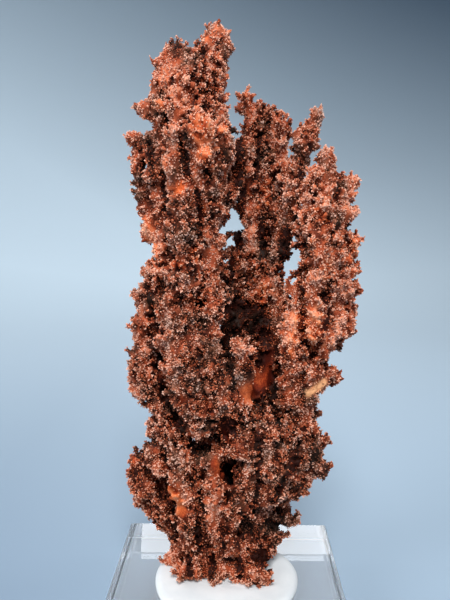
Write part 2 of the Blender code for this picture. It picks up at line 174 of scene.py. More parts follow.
def new_tree(name, inputs, build):
    """A geometry tree with these inputs after its mesh, each a name, a socket type and a default.

    build takes the tree and its input node, adds the nodes between and returns the last one.
    """
    tree = bpy.data.node_groups.new(name, "GeometryNodeTree")
    tree.interface.new_socket("Geometry", in_out="INPUT", socket_type="NodeSocketGeometry")
    for label, kind, default in inputs:
        entry = tree.interface.new_socket(label, in_out="INPUT", socket_type="NodeSocket" + kind)
        if default is not None:
            entry.default_value = default
    tree.interface.new_socket("Geometry", in_out="OUTPUT", socket_type="NodeSocketGeometry")
    last = build(tree, tree.nodes.new("NodeGroupInput"))
    wire(tree, last, "Geometry", tree.nodes.new("NodeGroupOutput"), "Geometry")
    return tree


def modified(mesh, *steps):
    """The mesh that these modifiers make from this one: each is its type, its settings and its inputs."""
    carrier = bpy.data.objects.new("carrier", mesh)
    scene.collection.objects.link(carrier)
    for kind, settings, inputs in steps:
        modifier = carrier.modifiers.new(kind, kind)
        for name, value in settings.items():
            setattr(modifier, name, value)
        for name, value in inputs.items():
            modifier[name] = value
    bpy.context.view_layer.update()
    evaluated = carrier.evaluated_get(bpy.context.evaluated_depsgraph_get())
    made = bpy.data.meshes.new_from_object(evaluated)
    bpy.data.objects.remove(carrier, do_unlink=True)
    return made


def run_tree(mesh, tree, **values):
    """The mesh that the tree makes from this one; spaces in an input's name are written as _."""
    inputs = {}
    for entry in tree.interface.items_tree:
        key = entry.name.replace(" ", "_")
        if entry.in_out == "INPUT" and key in values:
            inputs[entry.identifier] = values[key]
    return modified(mesh, ("NODES", {"node_group": tree}, inputs))


def remeshed(mesh, grain, passes):
    """The mesh as one even skin of this grain, smoothed this many times."""
    return modified(
        mesh,
        ("REMESH", {"mode": "VOXEL", "voxel_size": grain}, {}),
        ("SMOOTH", {"factor": 0.5, "iterations": passes}, {}),
    )


def mesh_of(shape, name):
    """A mesh from a finished bmesh, which is freed."""
    mesh = bpy.data.meshes.new(name)
    shape.to_mesh(mesh)
    shape.free()
    return mesh


print("helpers ready")

# %% [markdown]
# ## From a solid to a soft core
#
# A limb's solid is a few hundred flat triangles that reach to the tips of the crust. Under the crust the
# real limb is a round, knobbly finger. Sculpting could give that, but a voxel remesh of the solid,
# smoothed a little, gives it at once and evenly for all eight limbs.
#
# A facet cuts corners, so balls are set into the solid first, where the growth is fuller. The remesh can
# cut a thin neck, so only the largest island is kept. One corner is too sharp and is worn round. The core
# is then drawn in, to leave room for the crust, except beside another limb, where it swells to close the
# gap between the solids.

# %% Read, measure and mend meshes
WELD = 0.001 * MM
THICK_START = 0.01 * MM
THICK_REACH = 4 * MM


def merged_copy(mesh):
    """The mesh with its loose triangles joined into one skin."""
    shape = bmesh.new()
    shape.from_mesh(mesh)
    bmesh.ops.remove_doubles(shape, verts=shape.verts, dist=WELD)
    return mesh_of(shape, mesh.name + "_skin")


def read_array(elements, name, width, kind=np.float32):
    """One property of every element, as rows of this width."""
    values = np.empty(len(elements) * width, kind)
    elements.foreach_get(name, values)
    return values.reshape(-1, width)


def places_of(mesh):
    return read_array(mesh.vertices, "co", 3)


def normals_of(mesh):
    return read_array(mesh.vertex_normals, "vector", 3)


def edge_ends(mesh):
    return read_array(mesh.edges, "vertices", 2, np.int32)


def move_vertices(mesh, places):
    mesh.vertices.foreach_set("co", places.astype(np.float32).ravel())
    mesh.update()


def tree_of(meshes):
    """One search tree over several meshes."""
    points, faces = [], []
    for mesh in meshes:
        start = len(points)
        points += [v.co.copy() for v in mesh.vertices]
        faces += [[start + i for i in p.vertices] for p in mesh.polygons]
    return BVHTree.FromPolygons(points, faces)


def whole(mesh):
    """The mesh with only its largest island, so nothing floats beside it or hides inside it."""
    ends = edge_ends(mesh)
    island = np.arange(len(mesh.vertices))
    settled = False
    while not settled:
        lower = island.copy()
        for a, b in ((0, 1), (1, 0)):
            np.minimum.at(lower, ends[:, a], island[ends[:, b]])
        lower = lower[lower]
        settled = np.array_equal(lower, island)
        island = lower
    kept = np.bincount(island).argmax()
    shape = bmesh.new()
    shape.from_mesh(mesh)
    loose = [vert for vert, number in zip(shape.verts, island) if number != kept]
    bmesh.ops.delete(shape, geom=loose, context="VERTS")
    shape.to_mesh(mesh)
    shape.free()
    return mesh


def ramp(value, low, high):
    """0 at low, 1 at high, and smooth between."""
    share = np.clip((value - low) / (high - low), 0, 1)
    return share * share * (3 - 2 * share)


def thickness(mesh, places, normals):
    """How far it is through the mesh from each vertex."""
    inside = tree_of([mesh])
    found = []
    for place, normal in zip(places, normals):
        heading = -Vector(normal)
        hit = inside.ray_cast(Vector(place) + heading * THICK_START, heading, THICK_REACH)[3]
        found.append(hit or THICK_REACH)
    return np.array(found)


def away_from(places, x, z):
    """How far from a spot on the upright plane through the growth these points show to the camera."""
    eye = camera.location
    share = eye.y / (eye.y - places[:, 1])
    across = eye.x + (places[:, 0] - eye.x) * share - x * MM
    up = eye.z + (places[:, 2] - eye.z) * share - z * MM
    return np.hypot(across, up)


print("mesh tools ready")

# %% Say where the growth is fuller or rounder than its solids
KNOBS = {  # by limb: x, z and radius in millimetres of balls that fill it out
    "rootstock": [(-10.0, 27.9, 1.2), (-7.4, 12.4, 0.6)],
    "right_fan": [
        (11.2, 29.2, 1.2), (12.6, 27.0, 1.6), (12.9, 22.6, 1.5), (11.9, 24.8, 1.3), (6.6, 15.6, 1.3),
        (7.5, 18.8, 1.1), (8.4, 15.8, 1.1), (7.0, 13.6, 1.2), (11.3, 30.6, 1.1), (5.3, 10.4, 1.4),
    ],
    "left_lobe": [(-11.6, 24.2, 1.4), (-8.6, 15.0, 1.1)],
    "left_flank": [(-10.8, 46.4, 1.2), (-9.2, 43.6, 1.0), (-11.9, 41.8, 1.0), (-0.9, 41.2, 1.0)],
    "left_spire": [
        (-1.0, 78.1, 2.2), (0.0, 76.7, 1.7), (-3.2, 74.6, 1.5), (-6.0, 76.1, 2.0), (-8.3, 74.8, 1.5),
        (-10.1, 69.6, 1.6), (-0.9, 69.4, 1.3), (0.9, 66.7, 1.2), (-11.5, 66.0, 1.0), (-10.6, 59.4, 1.0),
        (-10.0, 57.2, 1.0), (-9.6, 54.2, 1.2), (0.8, 59.4, 0.9), (-0.5, 55.8, 1.0), (-2.0, 46.2, 1.6),
        (-2.3, 77.0, 1.3), (-10.3, 63.9, 0.8), (-9.8, 65.0, 0.6), (-8.9, 52.2, 1.0), (-1.7, 78.4, 1.4),
        (-4.8, 76.4, 1.0), (-0.2, 68.6, 1.6), (-11.5, 62.0, 1.2),
    ],
    "middle_spire": [
        (2.5, 70.9, 1.3), (2.4, 69.0, 1.1), (7.0, 67.8, 1.2), (11.2, 68.9, 1.2), (10.6, 67.2, 0.8),
        (11.4, 66.3, 0.6), (6.6, 48.8, 0.9), (1.4, 52.0, 1.3), (1.9, 69.8, 1.0), (2.0, 57.6, 1.3),
        (2.2, 53.4, 1.1),
    ],
    "right_spire": [
        (11.2, 62.0, 1.4), (13.2, 63.4, 0.8), (16.1, 60.7, 1.4), (15.9, 57.0, 1.0), (15.9, 44.8, 1.4),
        (8.9, 49.2, 1.2), (14.4, 39.8, 1.0), (14.0, 35.6, 0.9), (9.4, 51.6, 0.9), (15.0, 42.3, 1.2),
        (16.0, 47.0, 1.0), (16.0, 43.9, 1.2),
    ],
}
WORN = {"left_spire": [(1.4, 74.2, 1.4)]}  # by limb: x, z and width in millimetres
print("knobs:", sum(len(balls) for balls in KNOBS.values()))

# %% Soften each limb and knit it to its neighbours
CORE_GRAIN = 0.4 * MM
CORE_PASSES = 3
CRUST_ROOM = 0.60 * MM  # how far a core is drawn in
THIN_SHARE = 0.15  # but never by more than this share of its thickness
ROOM_ABOVE = 0.2  # and by this share more on its upper side
FOOT_REACH = 3 * MM  # the foot isn't drawn in, so it stays on the pad
KNIT_SWELL = 0.45 * MM
KNIT_NEAR = 0.4 * MM  # this near to another limb it swells fully
KNIT_FAR = 1.0 * MM  # and from here on not at all
BESIDE = 3 * MM  # how far round a knob its limb's depth is read
WEAR_PASSES = 40
WEAR_CORE = 0.6  # of its width: where a worn place starts to fade


def with_knobs(skin, name):
    """A limb's skin with its knobs, each a ball at the limb's middle depth beside it."""
    places = places_of(skin).astype(float)
    shape = bmesh.new()
    shape.from_mesh(skin)
    for x, z, radius in KNOBS.get(name, ()):
        beside = places[away_from(places, x, z) < BESIDE][:, 1]
        depth = (beside.min() + beside.max()) / 2
        sight = Vector((x, 0, z)) * MM - camera.location
        spot = camera.location + sight * (1 + depth / sight.y)
        bmesh.ops.create_icosphere(
            shape, subdivisions=2, radius=radius * MM, matrix=Matrix.Translation(spot),
        )
    return mesh_of(shape, name + "_knobbed")


def wear(core, name):
    """Round a core off at its worn places, by moving each vertex towards the middle of its neighbours."""
    places = places_of(core).astype(float)
    weight = np.zeros(len(places))
    for x, z, width in WORN.get(name, ()):
        weight = np.maximum(weight, 1 - ramp(away_from(places, x, z), WEAR_CORE * width * MM, width * MM))
    if not weight.any():
        return
    ends = edge_ends(core)
    ends = np.vstack((ends, ends[:, ::-1]))
    count = np.bincount(ends[:, 0], minlength=len(places))
    for _ in range(WEAR_PASSES):
        for axis in range(3):
            total = np.bincount(ends[:, 0], places[ends[:, 1], axis], len(places))
            places[:, axis] += 0.5 * weight * (total / count - places[:, axis])
    move_vertices(core, places)


skins = {name: merged_copy(frame["nodes"][name].data) for name in LIMBS}
cores = {}
for name in LIMBS:
    core = whole(remeshed(with_knobs(skins[name], name), CORE_GRAIN, CORE_PASSES))
    wear(core, name)
    others = tree_of([skins[other] for other in LIMBS if other != name])
    places, normals = places_of(core), normals_of(core)
    gaps = np.array([others.find_nearest(Vector(p), KNIT_FAR)[3] or KNIT_FAR for p in places])
    near = 1 - ramp(gaps, KNIT_NEAR, KNIT_FAR)
    room = np.minimum(CRUST_ROOM, thickness(core, places, normals) * THIN_SHARE)
    room = room * (1 + ROOM_ABOVE * np.clip(normals[:, 2], 0, 1))
    room = room * ramp(places[:, 2], FOOT_LEVEL, FOOT_LEVEL + FOOT_REACH)
    move_vertices(core, places + normals * (near * (KNIT_SWELL + room) - room)[:, None])
    cores[name] = core
print("cores:", {name: len(core.polygons) for name, core in cores.items()})

# %% [markdown]
# ## Landmarks
#
# No two places on a natural piece are alike, and a few are what a visitor remembers: the powdery orange
# spots where grains broke off, the salmon shoulders that catch the light, the black gullies between the
# ribs, the bare smooth recess and its tan ledge. The salmon shoulders are lightened with painted
# highlight, the black gullies are darkened with painted shade, and other places that lie in shade are
# dimmed with painted shade and a duller hue. Each landmark is a short line of points, given as where it
# shows on the upright plane through the growth, a width, and how far it is hollowed or swollen. It is
# carried from there onto the core along the line of sight, so it lies on the surface from any side. Most
# kinds are numbers for the colour later on. A swell only moves the surface, a blunt one keeps the clubs
# short so that a tip stays round, and on a bare one no clubs stand.

# %% Name the landmarks
LANDMARKS = {
    # by kind: width, hollow and lines of points, each as x, z, x, z; all in millimetres, and a negative
    # hollow is a swelling
    "swell": [
        (1.0, -0.7, [0.0, 57.0], [8.6, 65.0]),
        (1.0, -0.6, [-0.2, 39.6], [-3.0, 44.2], [11.6, 66.9]),
        (1.0, -0.5, [15.2, 40.8]),
        (1.0, -0.4, [-10.9, 27.6]),
        (1.0, 0.4, [-9.6, 74.2, -9.4, 72.8], [3.6, 71.6]),
        (1.0, 0.5, [-12.5, 62.8, -12.6, 61.2], [-0.6, 54.6], [0.0, 53.6]),
        (1.0, 0.6, [-9.9, 67.2, -9.8, 66.2]),
        (1.0, 0.8, [8.7, 66.8]),
        (1.2, -1.2, [-13.0, 24.4, -13.4, 20.4]),
        (1.2, -1.0, [7.3, 69.0, 8.0, 67.7]),
        (1.2, -0.7, [0.3, 59.4], [0.2, 52.0, -0.2, 50.4], [-9.6, 14.2]),
        (1.2, -0.5, [2.8, 57.0, 2.7, 53.0], [16.4, 57.4, 16.5, 54.1], [14.6, 34.9],
            [-12.9, 35.6, -12.7, 33.6], [8.2, 15.6]),
        (1.2, -0.4, [-11.6, 66.6], [16.0, 58.4], [9.4, 18.9]),
        (1.2, -0.3, [16.0, 47.4]),
        (1.2, 0.3, [17.0, 51.0]),
        (1.2, 0.5, [4.6, 71.0, 6.2, 70.3]),
        (1.2, 0.6, [13.0, 27.0], [9.6, 17.2], [6.6, 9.4, 6.4, 7.8], [-11.6, 31.2, -11.0, 29.2]),
        (1.2, 0.7, [13.1, 33.0, 12.6, 31.6], [-13.0, 44.2], [-13.4, 39.4]),
        (1.3, -0.9, [4.2, 28.4]),
        (1.3, 0.4, [0.9, 74.0]),
        (1.4, -1.2, [2.0, 25.6, 2.0, 23.4]),
        (1.4, -0.8, [0.0, 26.0, 0.0, 23.6]),
        (1.4, -0.5, [-2.4, 46.6, -2.4, 44.4]),
        (1.4, 1.0, [1.6, 68.6, 1.5, 67.2]),
    ],
    "blunt": [
        (1.6, 0.0, [-8.4, 12.6, -7.6, 8.6]),
        (1.8, 0.0, [-12.8, 44.2], [-12.6, 39.6]),
        (2.0, 0.0, [13.0, 63.4, 16.0, 60.6], [14.2, 36.0], [-10.6, 53.4]),
        (2.2, 0.0, [-11.8, 66.4], [3.0, 72.5, 5.2, 70.6, 7.0, 69.0], [9.6, 67.4, 11.0, 69.2]),
        (2.4, 0.0, [-5.4, 77.0, -8.4, 75.0, -11.0, 69.4]),
        (3.2, 0.0, [-2.4, 78.0, 0.2, 77.6]),
    ],
    # Salmon shoulders: rustier, and lightened with painted highlight.
    "salmon_and_highlight": [
        (0.7, 0.0, [-0.9, 79.0, 0.0, 78.4]),
        (0.8, 0.0, [-11.8, 64.4, -11.8, 62.6]),
        (0.9, 0.0, [-6.6, 8.8, -4.4, 8.4], [0.2, 8.2]),
        (1.0, 0.0, [-5.4, 24.8, -5.0, 23.0], [0.0, 68.5, 0.0, 66.0]),
        (1.2, -0.3, [-3.0, 74.0, -2.2, 73.2]),
        (1.2, 0.0, [-6.7, 74.6, -7.5, 72.8], [-6.6, 67.6, -6.2, 65.0], [-10.0, 54.4],
            [-4.6, 27.4, -2.4, 26.6], [1.4, 50.0, 0.8, 47.8], [2.9, 39.6, 2.6, 37.6],
            [6.4, 67.4, 6.8, 65.8], [-1.0, 18.5, -2.0, 14.5]),
        (1.3, 0.0, [3.4, 62.0, 3.2, 56.0, 3.2, 50.0], [15.4, 58.6, 15.4, 54.5, 15.4, 49.5, 15.0, 44.5]),
        (1.4, -0.3, [-5.6, 73.4, -4.6, 71.0], [14.4, 42.6, 12.9, 40.4], [-6.6, 19.4, -5.2, 19.0]),
        (1.4, 0.0, [2.7, 71.0, 3.3, 69.0], [15.6, 53.4, 15.4, 51.2], [-5.2, 46.8, -5.0, 45.0],
            [-8.6, 37.6, -8.2, 35.8], [-8.4, 21.8, -8.6, 19.8], [-2.7, 21.6, -2.2, 18.0],
            [10.4, 60.6, 9.6, 56.5], [3.0, 31.4, 3.6, 30.4], [-5.4, 71.4, -5.2, 69.2],
            [15.6, 50.0, 15.4, 46.0], [8.6, 44.5, 8.4, 40.0]),
        (1.5, 0.0, [-2.6, 54.0, -2.8, 45.4]),
        (1.6, 0.0, [-1.8, 74.8, 0.0, 73.6, -0.4, 71.6], [-8.2, 64.6, -8.0, 59.6], [-8.8, 53.0, -8.6, 49.5],
            [5.8, 61.0, 6.0, 58.0], [11.6, 60.0, 12.2, 58.0], [13.4, 53.2, 13.5, 52.0],
            [11.6, 47.0, 11.3, 42.0, 10.9, 38.0]),
        (1.7, 0.0, [5.6, 47.8, 7.0, 45.4]),
        (1.8, -0.6, [-2.6, 68.2, -3.0, 65.0, -2.0, 63.5]),
        (1.8, 0.0, [-9.8, 43.0, -9.4, 39.5, -9.0, 36.4]),
        (2.0, 0.0, [7.2, 62.6, 7.6, 58.4]),
    ],
    "glow": [
        (0.5, 0.0, [0.6, 8.6]),
        (0.6, 0.0, [-6.4, 8.4], [-7.4, 20.4, -6.2, 17.6]),
        (0.6, 0.2, [-3.0, 57.5, -3.3, 56.5]),
        (0.7, 0.0, [-8.4, 70.6, -8.0, 69.6], [11.4, 57.5, 12.6, 55.4]),
        (0.7, 0.2, [-5.0, 60.4, -6.5, 59.2], [-4.2, 52.2, -3.6, 50.6], [5.0, 60.5, 5.0, 57.5]),
        (0.8, 0.0, [-12.5, 24.0]),
        (0.8, 0.1, [-7.2, 50.6, -6.0, 50.4]),
        (0.9, 0.2, [4.6, 47.5, 4.4, 45.6]),
        (1.0, 0.0, [8.8, 41.4, 8.2, 38.8], [13.0, 50.4, 12.6, 49.0]),
        (1.1, -0.4, [-0.4, 67.2]),
        (1.2, -0.4, [-10.2, 55.6, -9.4, 52.4]),
        (1.2, 0.0, [16.2, 53.0, 15.8, 51.4]),
        (1.6, -0.6, [-3.3, 67.5, -2.6, 66.0, -2.4, 64.2]),
        (1.6, 0.0, [9.2, 43.0, 11.3, 43.4, 11.0, 40.0]),
    ],
    "ember": [
        (0.5, 0.0, [-2.6, 78.4, -2.4, 77.8]),
        (0.5, 0.1, [-5.8, 59.8]),
        (0.5, 0.2, [-8.6, 35.6]),
        (0.6, 0.2, [-0.1, 28.2, 0.2, 27.2], [-6.0, 32.5]),
        (0.8, 0.2, [-1.6, 23.6, -0.8, 21.9]),
        (0.8, 0.8, [5.7, 38.8, 5.5, 37.2]),
        (1.0, -0.3, [-7.7, 19.6, -7.0, 18.2, -6.0, 16.6]),
        (1.7, 0.5, [5.0, 35.4, 3.0, 33.4]),
    ],
    "ochre": [
        (0.5, -0.6, [10.8, 33.4, 11.4, 33.8, 12.8, 34.9]),
    ],
    "rusty": [
        (1.0, 0.0, [0.0, 72.5, 0.2, 70.5]),
        (1.0, 0.2, [2.6, 70.5, 2.8, 66.5]),
        (1.3, 0.0, [-2.7, 72.9, -1.7, 71.7, -2.5, 70.6]),
        (1.4, 0.0, [-12.0, 65.6, -11.8, 62.6], [-9.0, 58.0, -9.6, 55.0, -8.5, 51.0], [4.5, 47.5, 3.6, 45.0]),
        (1.5, -0.3, [14.1, 35.8]),
        (1.8, 0.0, [-1.0, 18.0, -2.0, 14.0]),
        (2.0, 0.0, [13.0, 50.0, 13.5, 44.0, 11.5, 37.0]),
        (2.0, 0.2, [-0.2, 27.4, 0.1, 25.2, -0.2, 22.5]),
        (2.2, 0.7, [5.4, 39.6, 5.0, 37.0, 4.2, 35.0]),
        (2.4, 0.0, [9.0, 48.0, 9.5, 43.0, 8.5, 37.0]),
        (2.6, 0.0, [-12.4, 22.5, -11.5, 20.0, -9.5, 18.0, -6.5, 16.0], [-6.0, 10.5, 0.5, 11.5, 4.9, 10.0]),
    ],
    # Black gullies: hollowed or swollen, partly bare of clubs, and darkened with painted shade.
    "painted_black_shade": [
        (0.35, 0.5, [0.6, 38.0, 0.9, 34.0]),
        (0.35, 0.6, [4.2, 27.5, 4.5, 24.1, 4.2, 19.9, 3.5, 16.7], [6.2, 18.5, 7.9, 21.6, 9.9, 24.5]),
        (0.4, 0.5, [-5.2, 66.2, -5.0, 64.4, -4.9, 61.5], [-7.8, 61.0, -7.4, 56.3], [-3.6, 59.6, -3.4, 54.0],
            [4.5, 55.0, 4.5, 51.0]),
        (0.4, 0.6, [4.1, 66.5, 3.9, 63.5, 3.6, 61.0], [9.2, 52.5, 9.0, 49.0, 10.0, 46.6]),
        (0.4, 0.7, [13.2, 43.6, 12.3, 40.8, 11.2, 38.2]),
        (0.45, -0.6, [0.9, 51.0, 0.2, 45.7, -0.3, 39.8]),
        (0.45, 0.0, [-5.8, 76.8]),
        (0.5, -1.0, [-9.6, 65.4, -9.4, 63.8, -9.3, 61.5]),
        (0.5, 0.0, [-2.8, 76.4, -2.7, 74.6]),
        (0.5, 0.8, [-3.9, 13.5, -3.9, 11.4], [-5.0, 9.8, -5.0, 7.6], [1.9, 9.6, 1.9, 7.4]),
        (0.5, 1.0, [9.8, 44.6, 10.1, 42.0, 10.1, 39.6]),
        (0.6, 0.4, [-7.8, 32.6, -7.0, 30.5, -6.0, 28.5]),
        (0.6, 0.5, [12.4, 46.4, 13.0, 45.8]),
        (0.6, 0.6, [6.0, 35.6, 6.3, 31.8]),
        (0.6, 0.8, [-1.7, 10.2, -1.9, 7.3]),
        (0.7, 0.4, [4.4, 38.6, 4.6, 37.4]),
        (0.7, 0.6, [4.2, 10.4, 5.8, 9.6], [5.5, 15.5, 7.5, 14.5]),
        (0.7, 0.7, [-2.6, 63.0, -2.4, 61.7]),
        (0.8, -1.0, [1.7, 65.5, 1.5, 60.5]),
        (0.8, -0.6, [7.5, 54.6, 7.2, 51.8]),
        (0.8, 0.0, [2.0, 60.0, 1.7, 55.0, 1.7, 52.5]),
        (0.8, 0.3, [0.2, 41.5, 0.4, 38.6]),
        (0.9, 0.6, [2.4, 42.4, 4.8, 41.2], [3.6, 38.8, 3.0, 36.6]),
        (1.0, 0.8, [0.2, 29.4, 0.2, 28.0]),
        (1.8, 0.5, [0.8, 45.0, 0.6, 41.5]),
        (1.8, 0.6, [1.6, 44.6, 3.0, 43.8, 4.0, 42.8]),
    ],
    # Places that lie back or in shade: dimmed with painted shade and made less rusty.
    "dull_and_shade": [
        (0.7, 0.0, [0.9, 18.8, 0.8, 16.6]),
        (0.8, 0.0, [-11.4, 65.8, -11.0, 65.2]),
        (1.0, 0.0, [12.6, 47.4]),
        (1.1, 0.0, [-6.2, 76.8, -5.2, 76.4]),
        (1.2, 0.0, [5.8, 39.2, 5.5, 37.4], [-0.6, 76.2, -0.4, 74.8], [1.2, 68.4, 1.2, 66.4],
            [-2.4, 70.8, -1.3, 70.2], [-11.8, 61.4, -11.8, 58.8], [-9.0, 65.4, -8.8, 63.8],
            [10.0, 33.0, 12.4, 32.6], [12.2, 25.6, 13.0, 22.4]),
        (1.4, 0.0, [-2.8, 25.0, -2.4, 23.2], [-5.6, 54.2, -5.2, 52.6], [13.0, 56.0, 15.6, 55.2],
            [3.2, 10.6, 5.6, 8.8]),
        (2.2, 0.0, [6.8, 15.0, 7.2, 12.6], [-12.4, 25.0, -12.6, 21.0], [-5.6, 13.4, 0.4, 13.8, 6.0, 13.0]),
    ],
}
COLOUR_KINDS = ("salmon_and_highlight", "glow", "ember", "ochre", "rusty", "painted_black_shade", "dull_and_shade")
BARE_KINDS = {"ember": 1.0, "ochre": 1.0, "painted_black_shade": 0.55}  # and the share of the clubs that they keep off
POWDERY_KINDS = ("ember", "ochre")
print("landmarks:", {kind: sum(len(row) - 2 for row in rows) for kind, rows in LANDMARKS.items()})

# %% Carry the landmarks onto the cores
LANDMARK_STEP = 0.5 * MM
HOLLOW_SHARE = 0.25  # of the thickness: the deepest that a hollow goes
SIGHT_STRETCH = 3.0  # how much further a landmark reaches along the line of sight than across it
FULL_SHARE, FADE_SHARE = 0.35, 1.35  # of its width: where a landmark starts to fade, and where it ends
STOUT = 3.5 * MM  # a part this thick takes a full rib, and a thinner one its share of it
LEAST_STOUT = 0.1


def landmark_spots(points, surface):
    """Points in even steps along a landmark, carried onto the surface, or to its nearest edge.

    Each comes as a pair: the point, and the line of sight that found it.
    """
    corners = [Vector((x, 0, z)) * MM for x, z in zip(points[::2], points[1::2])]
    places = [corners[0]]
    for start, end in zip(corners, corners[1:]):
        steps = max(1, round((end - start).length / LANDMARK_STEP))
        places += [start.lerp(end, (k + 1) / steps) for k in range(steps)]
    spots = []
    for place in places:
        sight = (place - camera.location).normalized()
        spot = surface.ray_cast(camera.location, sight)[0]
        spots.append((spot or surface.find_nearest(place)[0], sight))
    return np.array(spots)


def nearness(places, spots, width):
    """1 on a landmark and 0 beyond its width; it reaches deeper along the line of sight than across."""
    best = np.full(len(places), np.inf)
    for spot, sight in spots:
        offset = places - spot
        along = (offset @ sight)[:, None] * sight
        best = np.minimum(best, np.linalg.norm(offset - along * (1 - 1 / SIGHT_STRETCH), axis=1))
    return 1 - ramp(best, FULL_SHARE * width, FADE_SHARE * width)


def landmarks_on(meshes):
    """Every landmark with its spots on these meshes."""
    surface = tree_of(meshes)
    return [
        (kind, width * MM, hollow * MM, landmark_spots(points, surface))
        for kind, rows in LANDMARKS.items()
        for width, hollow, *lines in rows
        for points in lines
    ]


def paint_landmarks(mesh, landmarks):
    """Store how near each vertex is to each kind of landmark that has a colour."""
    places = places_of(mesh)
    powder = np.zeros(len(places))
    for kind in COLOUR_KINDS:
        found = np.zeros(len(places))
        for other, width, _, spots in landmarks:
            if other == kind:
                found = np.maximum(found, nearness(places, spots, width))
        store(mesh, kind, found)
        if kind in POWDERY_KINDS:
            powder = np.maximum(powder, found)
    store(mesh, "powder", powder)


def store(mesh, name, values):
    made = mesh.attributes.new(name, "FLOAT", "POINT")
    made.data.foreach_set("value", np.asarray(values, np.float32))


landmarks = landmarks_on(cores.values())
for core in cores.values():
    places, normals = places_of(core), normals_of(core)
    through = thickness(core, places, normals)
    push, bare, blunt = np.zeros((3, len(places)))
    for kind, width, hollow, spots in landmarks:
        near = nearness(places, spots, width)
        push = np.where(abs(near * hollow) > abs(push), near * hollow, push)
        if kind in BARE_KINDS:
            bare = np.maximum(bare, near * BARE_KINDS[kind])
        if kind == "blunt":
            blunt = np.maximum(blunt, near)
    move_vertices(core, places - normals * np.minimum(push, HOLLOW_SHARE * through)[:, None])
    store(core, "bare", bare)
    store(core, "blunt", blunt)
    store(core, "stout", np.clip(through / STOUT, LEAST_STOUT, 1))
print("landmark spots:", sum(len(mark[3]) for mark in landmarks))

# %% [markdown]
# ## Ribs
#
# The growth climbs in ribs, one or two millimetres wide, with dark grooves between them, and they follow
# each limb's own direction. A Voronoi texture that is stretched along that direction has just such cells.
# Geometry Nodes read it at every point of a core, raise the middles of the cells and keep the number for
# the steps that follow. A thin part rises less, so a rib never bursts through it.

# %% Raise the ribs
RIBS = {  # by limb: how far its ribs lean to the right, as x for each unit of height, and their width in mm
    "rootstock": (0.05, 1.3), "right_fan": (0.40, 1.2), "left_lobe": (-0.35, 1.3), "left_flank": (-0.12, 1.5),
    "centre_sprig": (0.08, 1.4), "left_spire": (-0.08, 1.8), "middle_spire": (0.08, 1.7),
    "right_spire": (0.14, 1.8),
}
RIB_RISE = 0.2  # of its width
RIB_GAIN = 2.4  # a crest is 0.5 at most, so a full rise takes a little over twice that
RIB_INPUTS = [
    ("Growth", "Vector", (0.0, 0.0, 1.0)),
    ("Rib width", "Float", 1.5 * MM),
    ("Rib height", "Float", 0.0),
    ("Rib stretch", "Float", 0.82),
]


def vectors(tree, operation, a, b=None, scale=None):
    """A Vector Math node on two sockets; returns the node."""
    made = node(tree, "ShaderNodeVectorMath", {"operation": operation})
    tree.links.new(a, made.inputs[0])
    if b is not None:
        tree.links.new(b, made.inputs[1])
    if scale is not None:
        tree.links.new(scale, socket(made.inputs, "Scale"))
    return made


def store_node(tree, name, source, output, value):
    """A node that stores a number on a mesh or on points."""
    made = node(tree, "GeometryNodeStoreNamedAttribute", {"data_type": "FLOAT"}, Name=name)
    wire(tree, source, output, made, "Geometry")
    tree.links.new(value, socket(made.inputs, "Value"))
    return made


def build_ribs(tree, entry):
    place = tree.nodes.new("GeometryNodeInputPosition").outputs[0]
    normal = tree.nodes.new("GeometryNodeInputNormal").outputs[0]
    growth = vectors(tree, "NORMALIZE", socket(entry.outputs, "Growth")).outputs[0]
    along = vectors(tree, "DOT_PRODUCT", place, growth).outputs["Value"]
    shrink = times(tree, along, socket(entry.outputs, "Rib stretch"))
    squeezed = vectors(tree, "SUBTRACT", place, vectors(tree, "SCALE", growth, scale=shrink).outputs[0])
    cells = node(tree, "ShaderNodeTexVoronoi", {"feature": "F1"}, Randomness=1.0)
    tree.links.new(squeezed.outputs[0], cells.inputs["Vector"])
    scale = maths(tree, "DIVIDE", 1.0, socket(entry.outputs, "Rib width"))
    tree.links.new(scale, socket(cells.inputs, "Scale"))
    crest = minus(tree, 0.5, socket(cells.outputs, "Distance"))
    rise = times(tree, crest, socket(entry.outputs, "Rib height"))
    rise = times(tree, times(tree, rise, RIB_GAIN), named(tree, "stout"))
    kept = store_node(tree, "crest", entry, "Geometry", crest)
    move = node(tree, "GeometryNodeSetPosition")
    wire(tree, kept, "Geometry", move, "Geometry")
    tree.links.new(vectors(tree, "SCALE", normal, scale=rise).outputs[0], socket(move.inputs, "Offset"))
    return move


rib_tree = new_tree("ribs", RIB_INPUTS, build_ribs)
for name, (lean, width) in RIBS.items():
    width *= MM
    cores[name] = run_tree(
        cores[name], rib_tree, Growth=(lean, 0, 1), Rib_width=width, Rib_height=RIB_RISE * width,
    )
print("ribs raised on", len(cores), "limbs")

# %% [markdown]
# ## Sprigs
#
# Between the fingers and the single granules the growth has sprigs: knobby little clubs, about a
# millimetre long, that crowd together on the ribs and lean upwards, with deep dark clefts between them.
# Displacing the core could only give shallow lumps, so clubs of a few faces are scattered over it by
# Geometry Nodes. A voxel remesh then melts core and clubs into one skin, clefts and all.

# %% Build the kinds of clubs
SPRIG_KINDS = 6
SPRIG_LENGTH = 1.25 * MM
SPRIG_WIDTH = 0.37 * MM
SPRIG_SIDES = 6
SPRIG_BEND = 0.12
CLUB_RINGS = ((-0.15, 0.45), (0.3, 0.75), (0.62, 1.0), (0.88, 0.72))  # height and width, as shares
CLUB_ROOT = -0.3


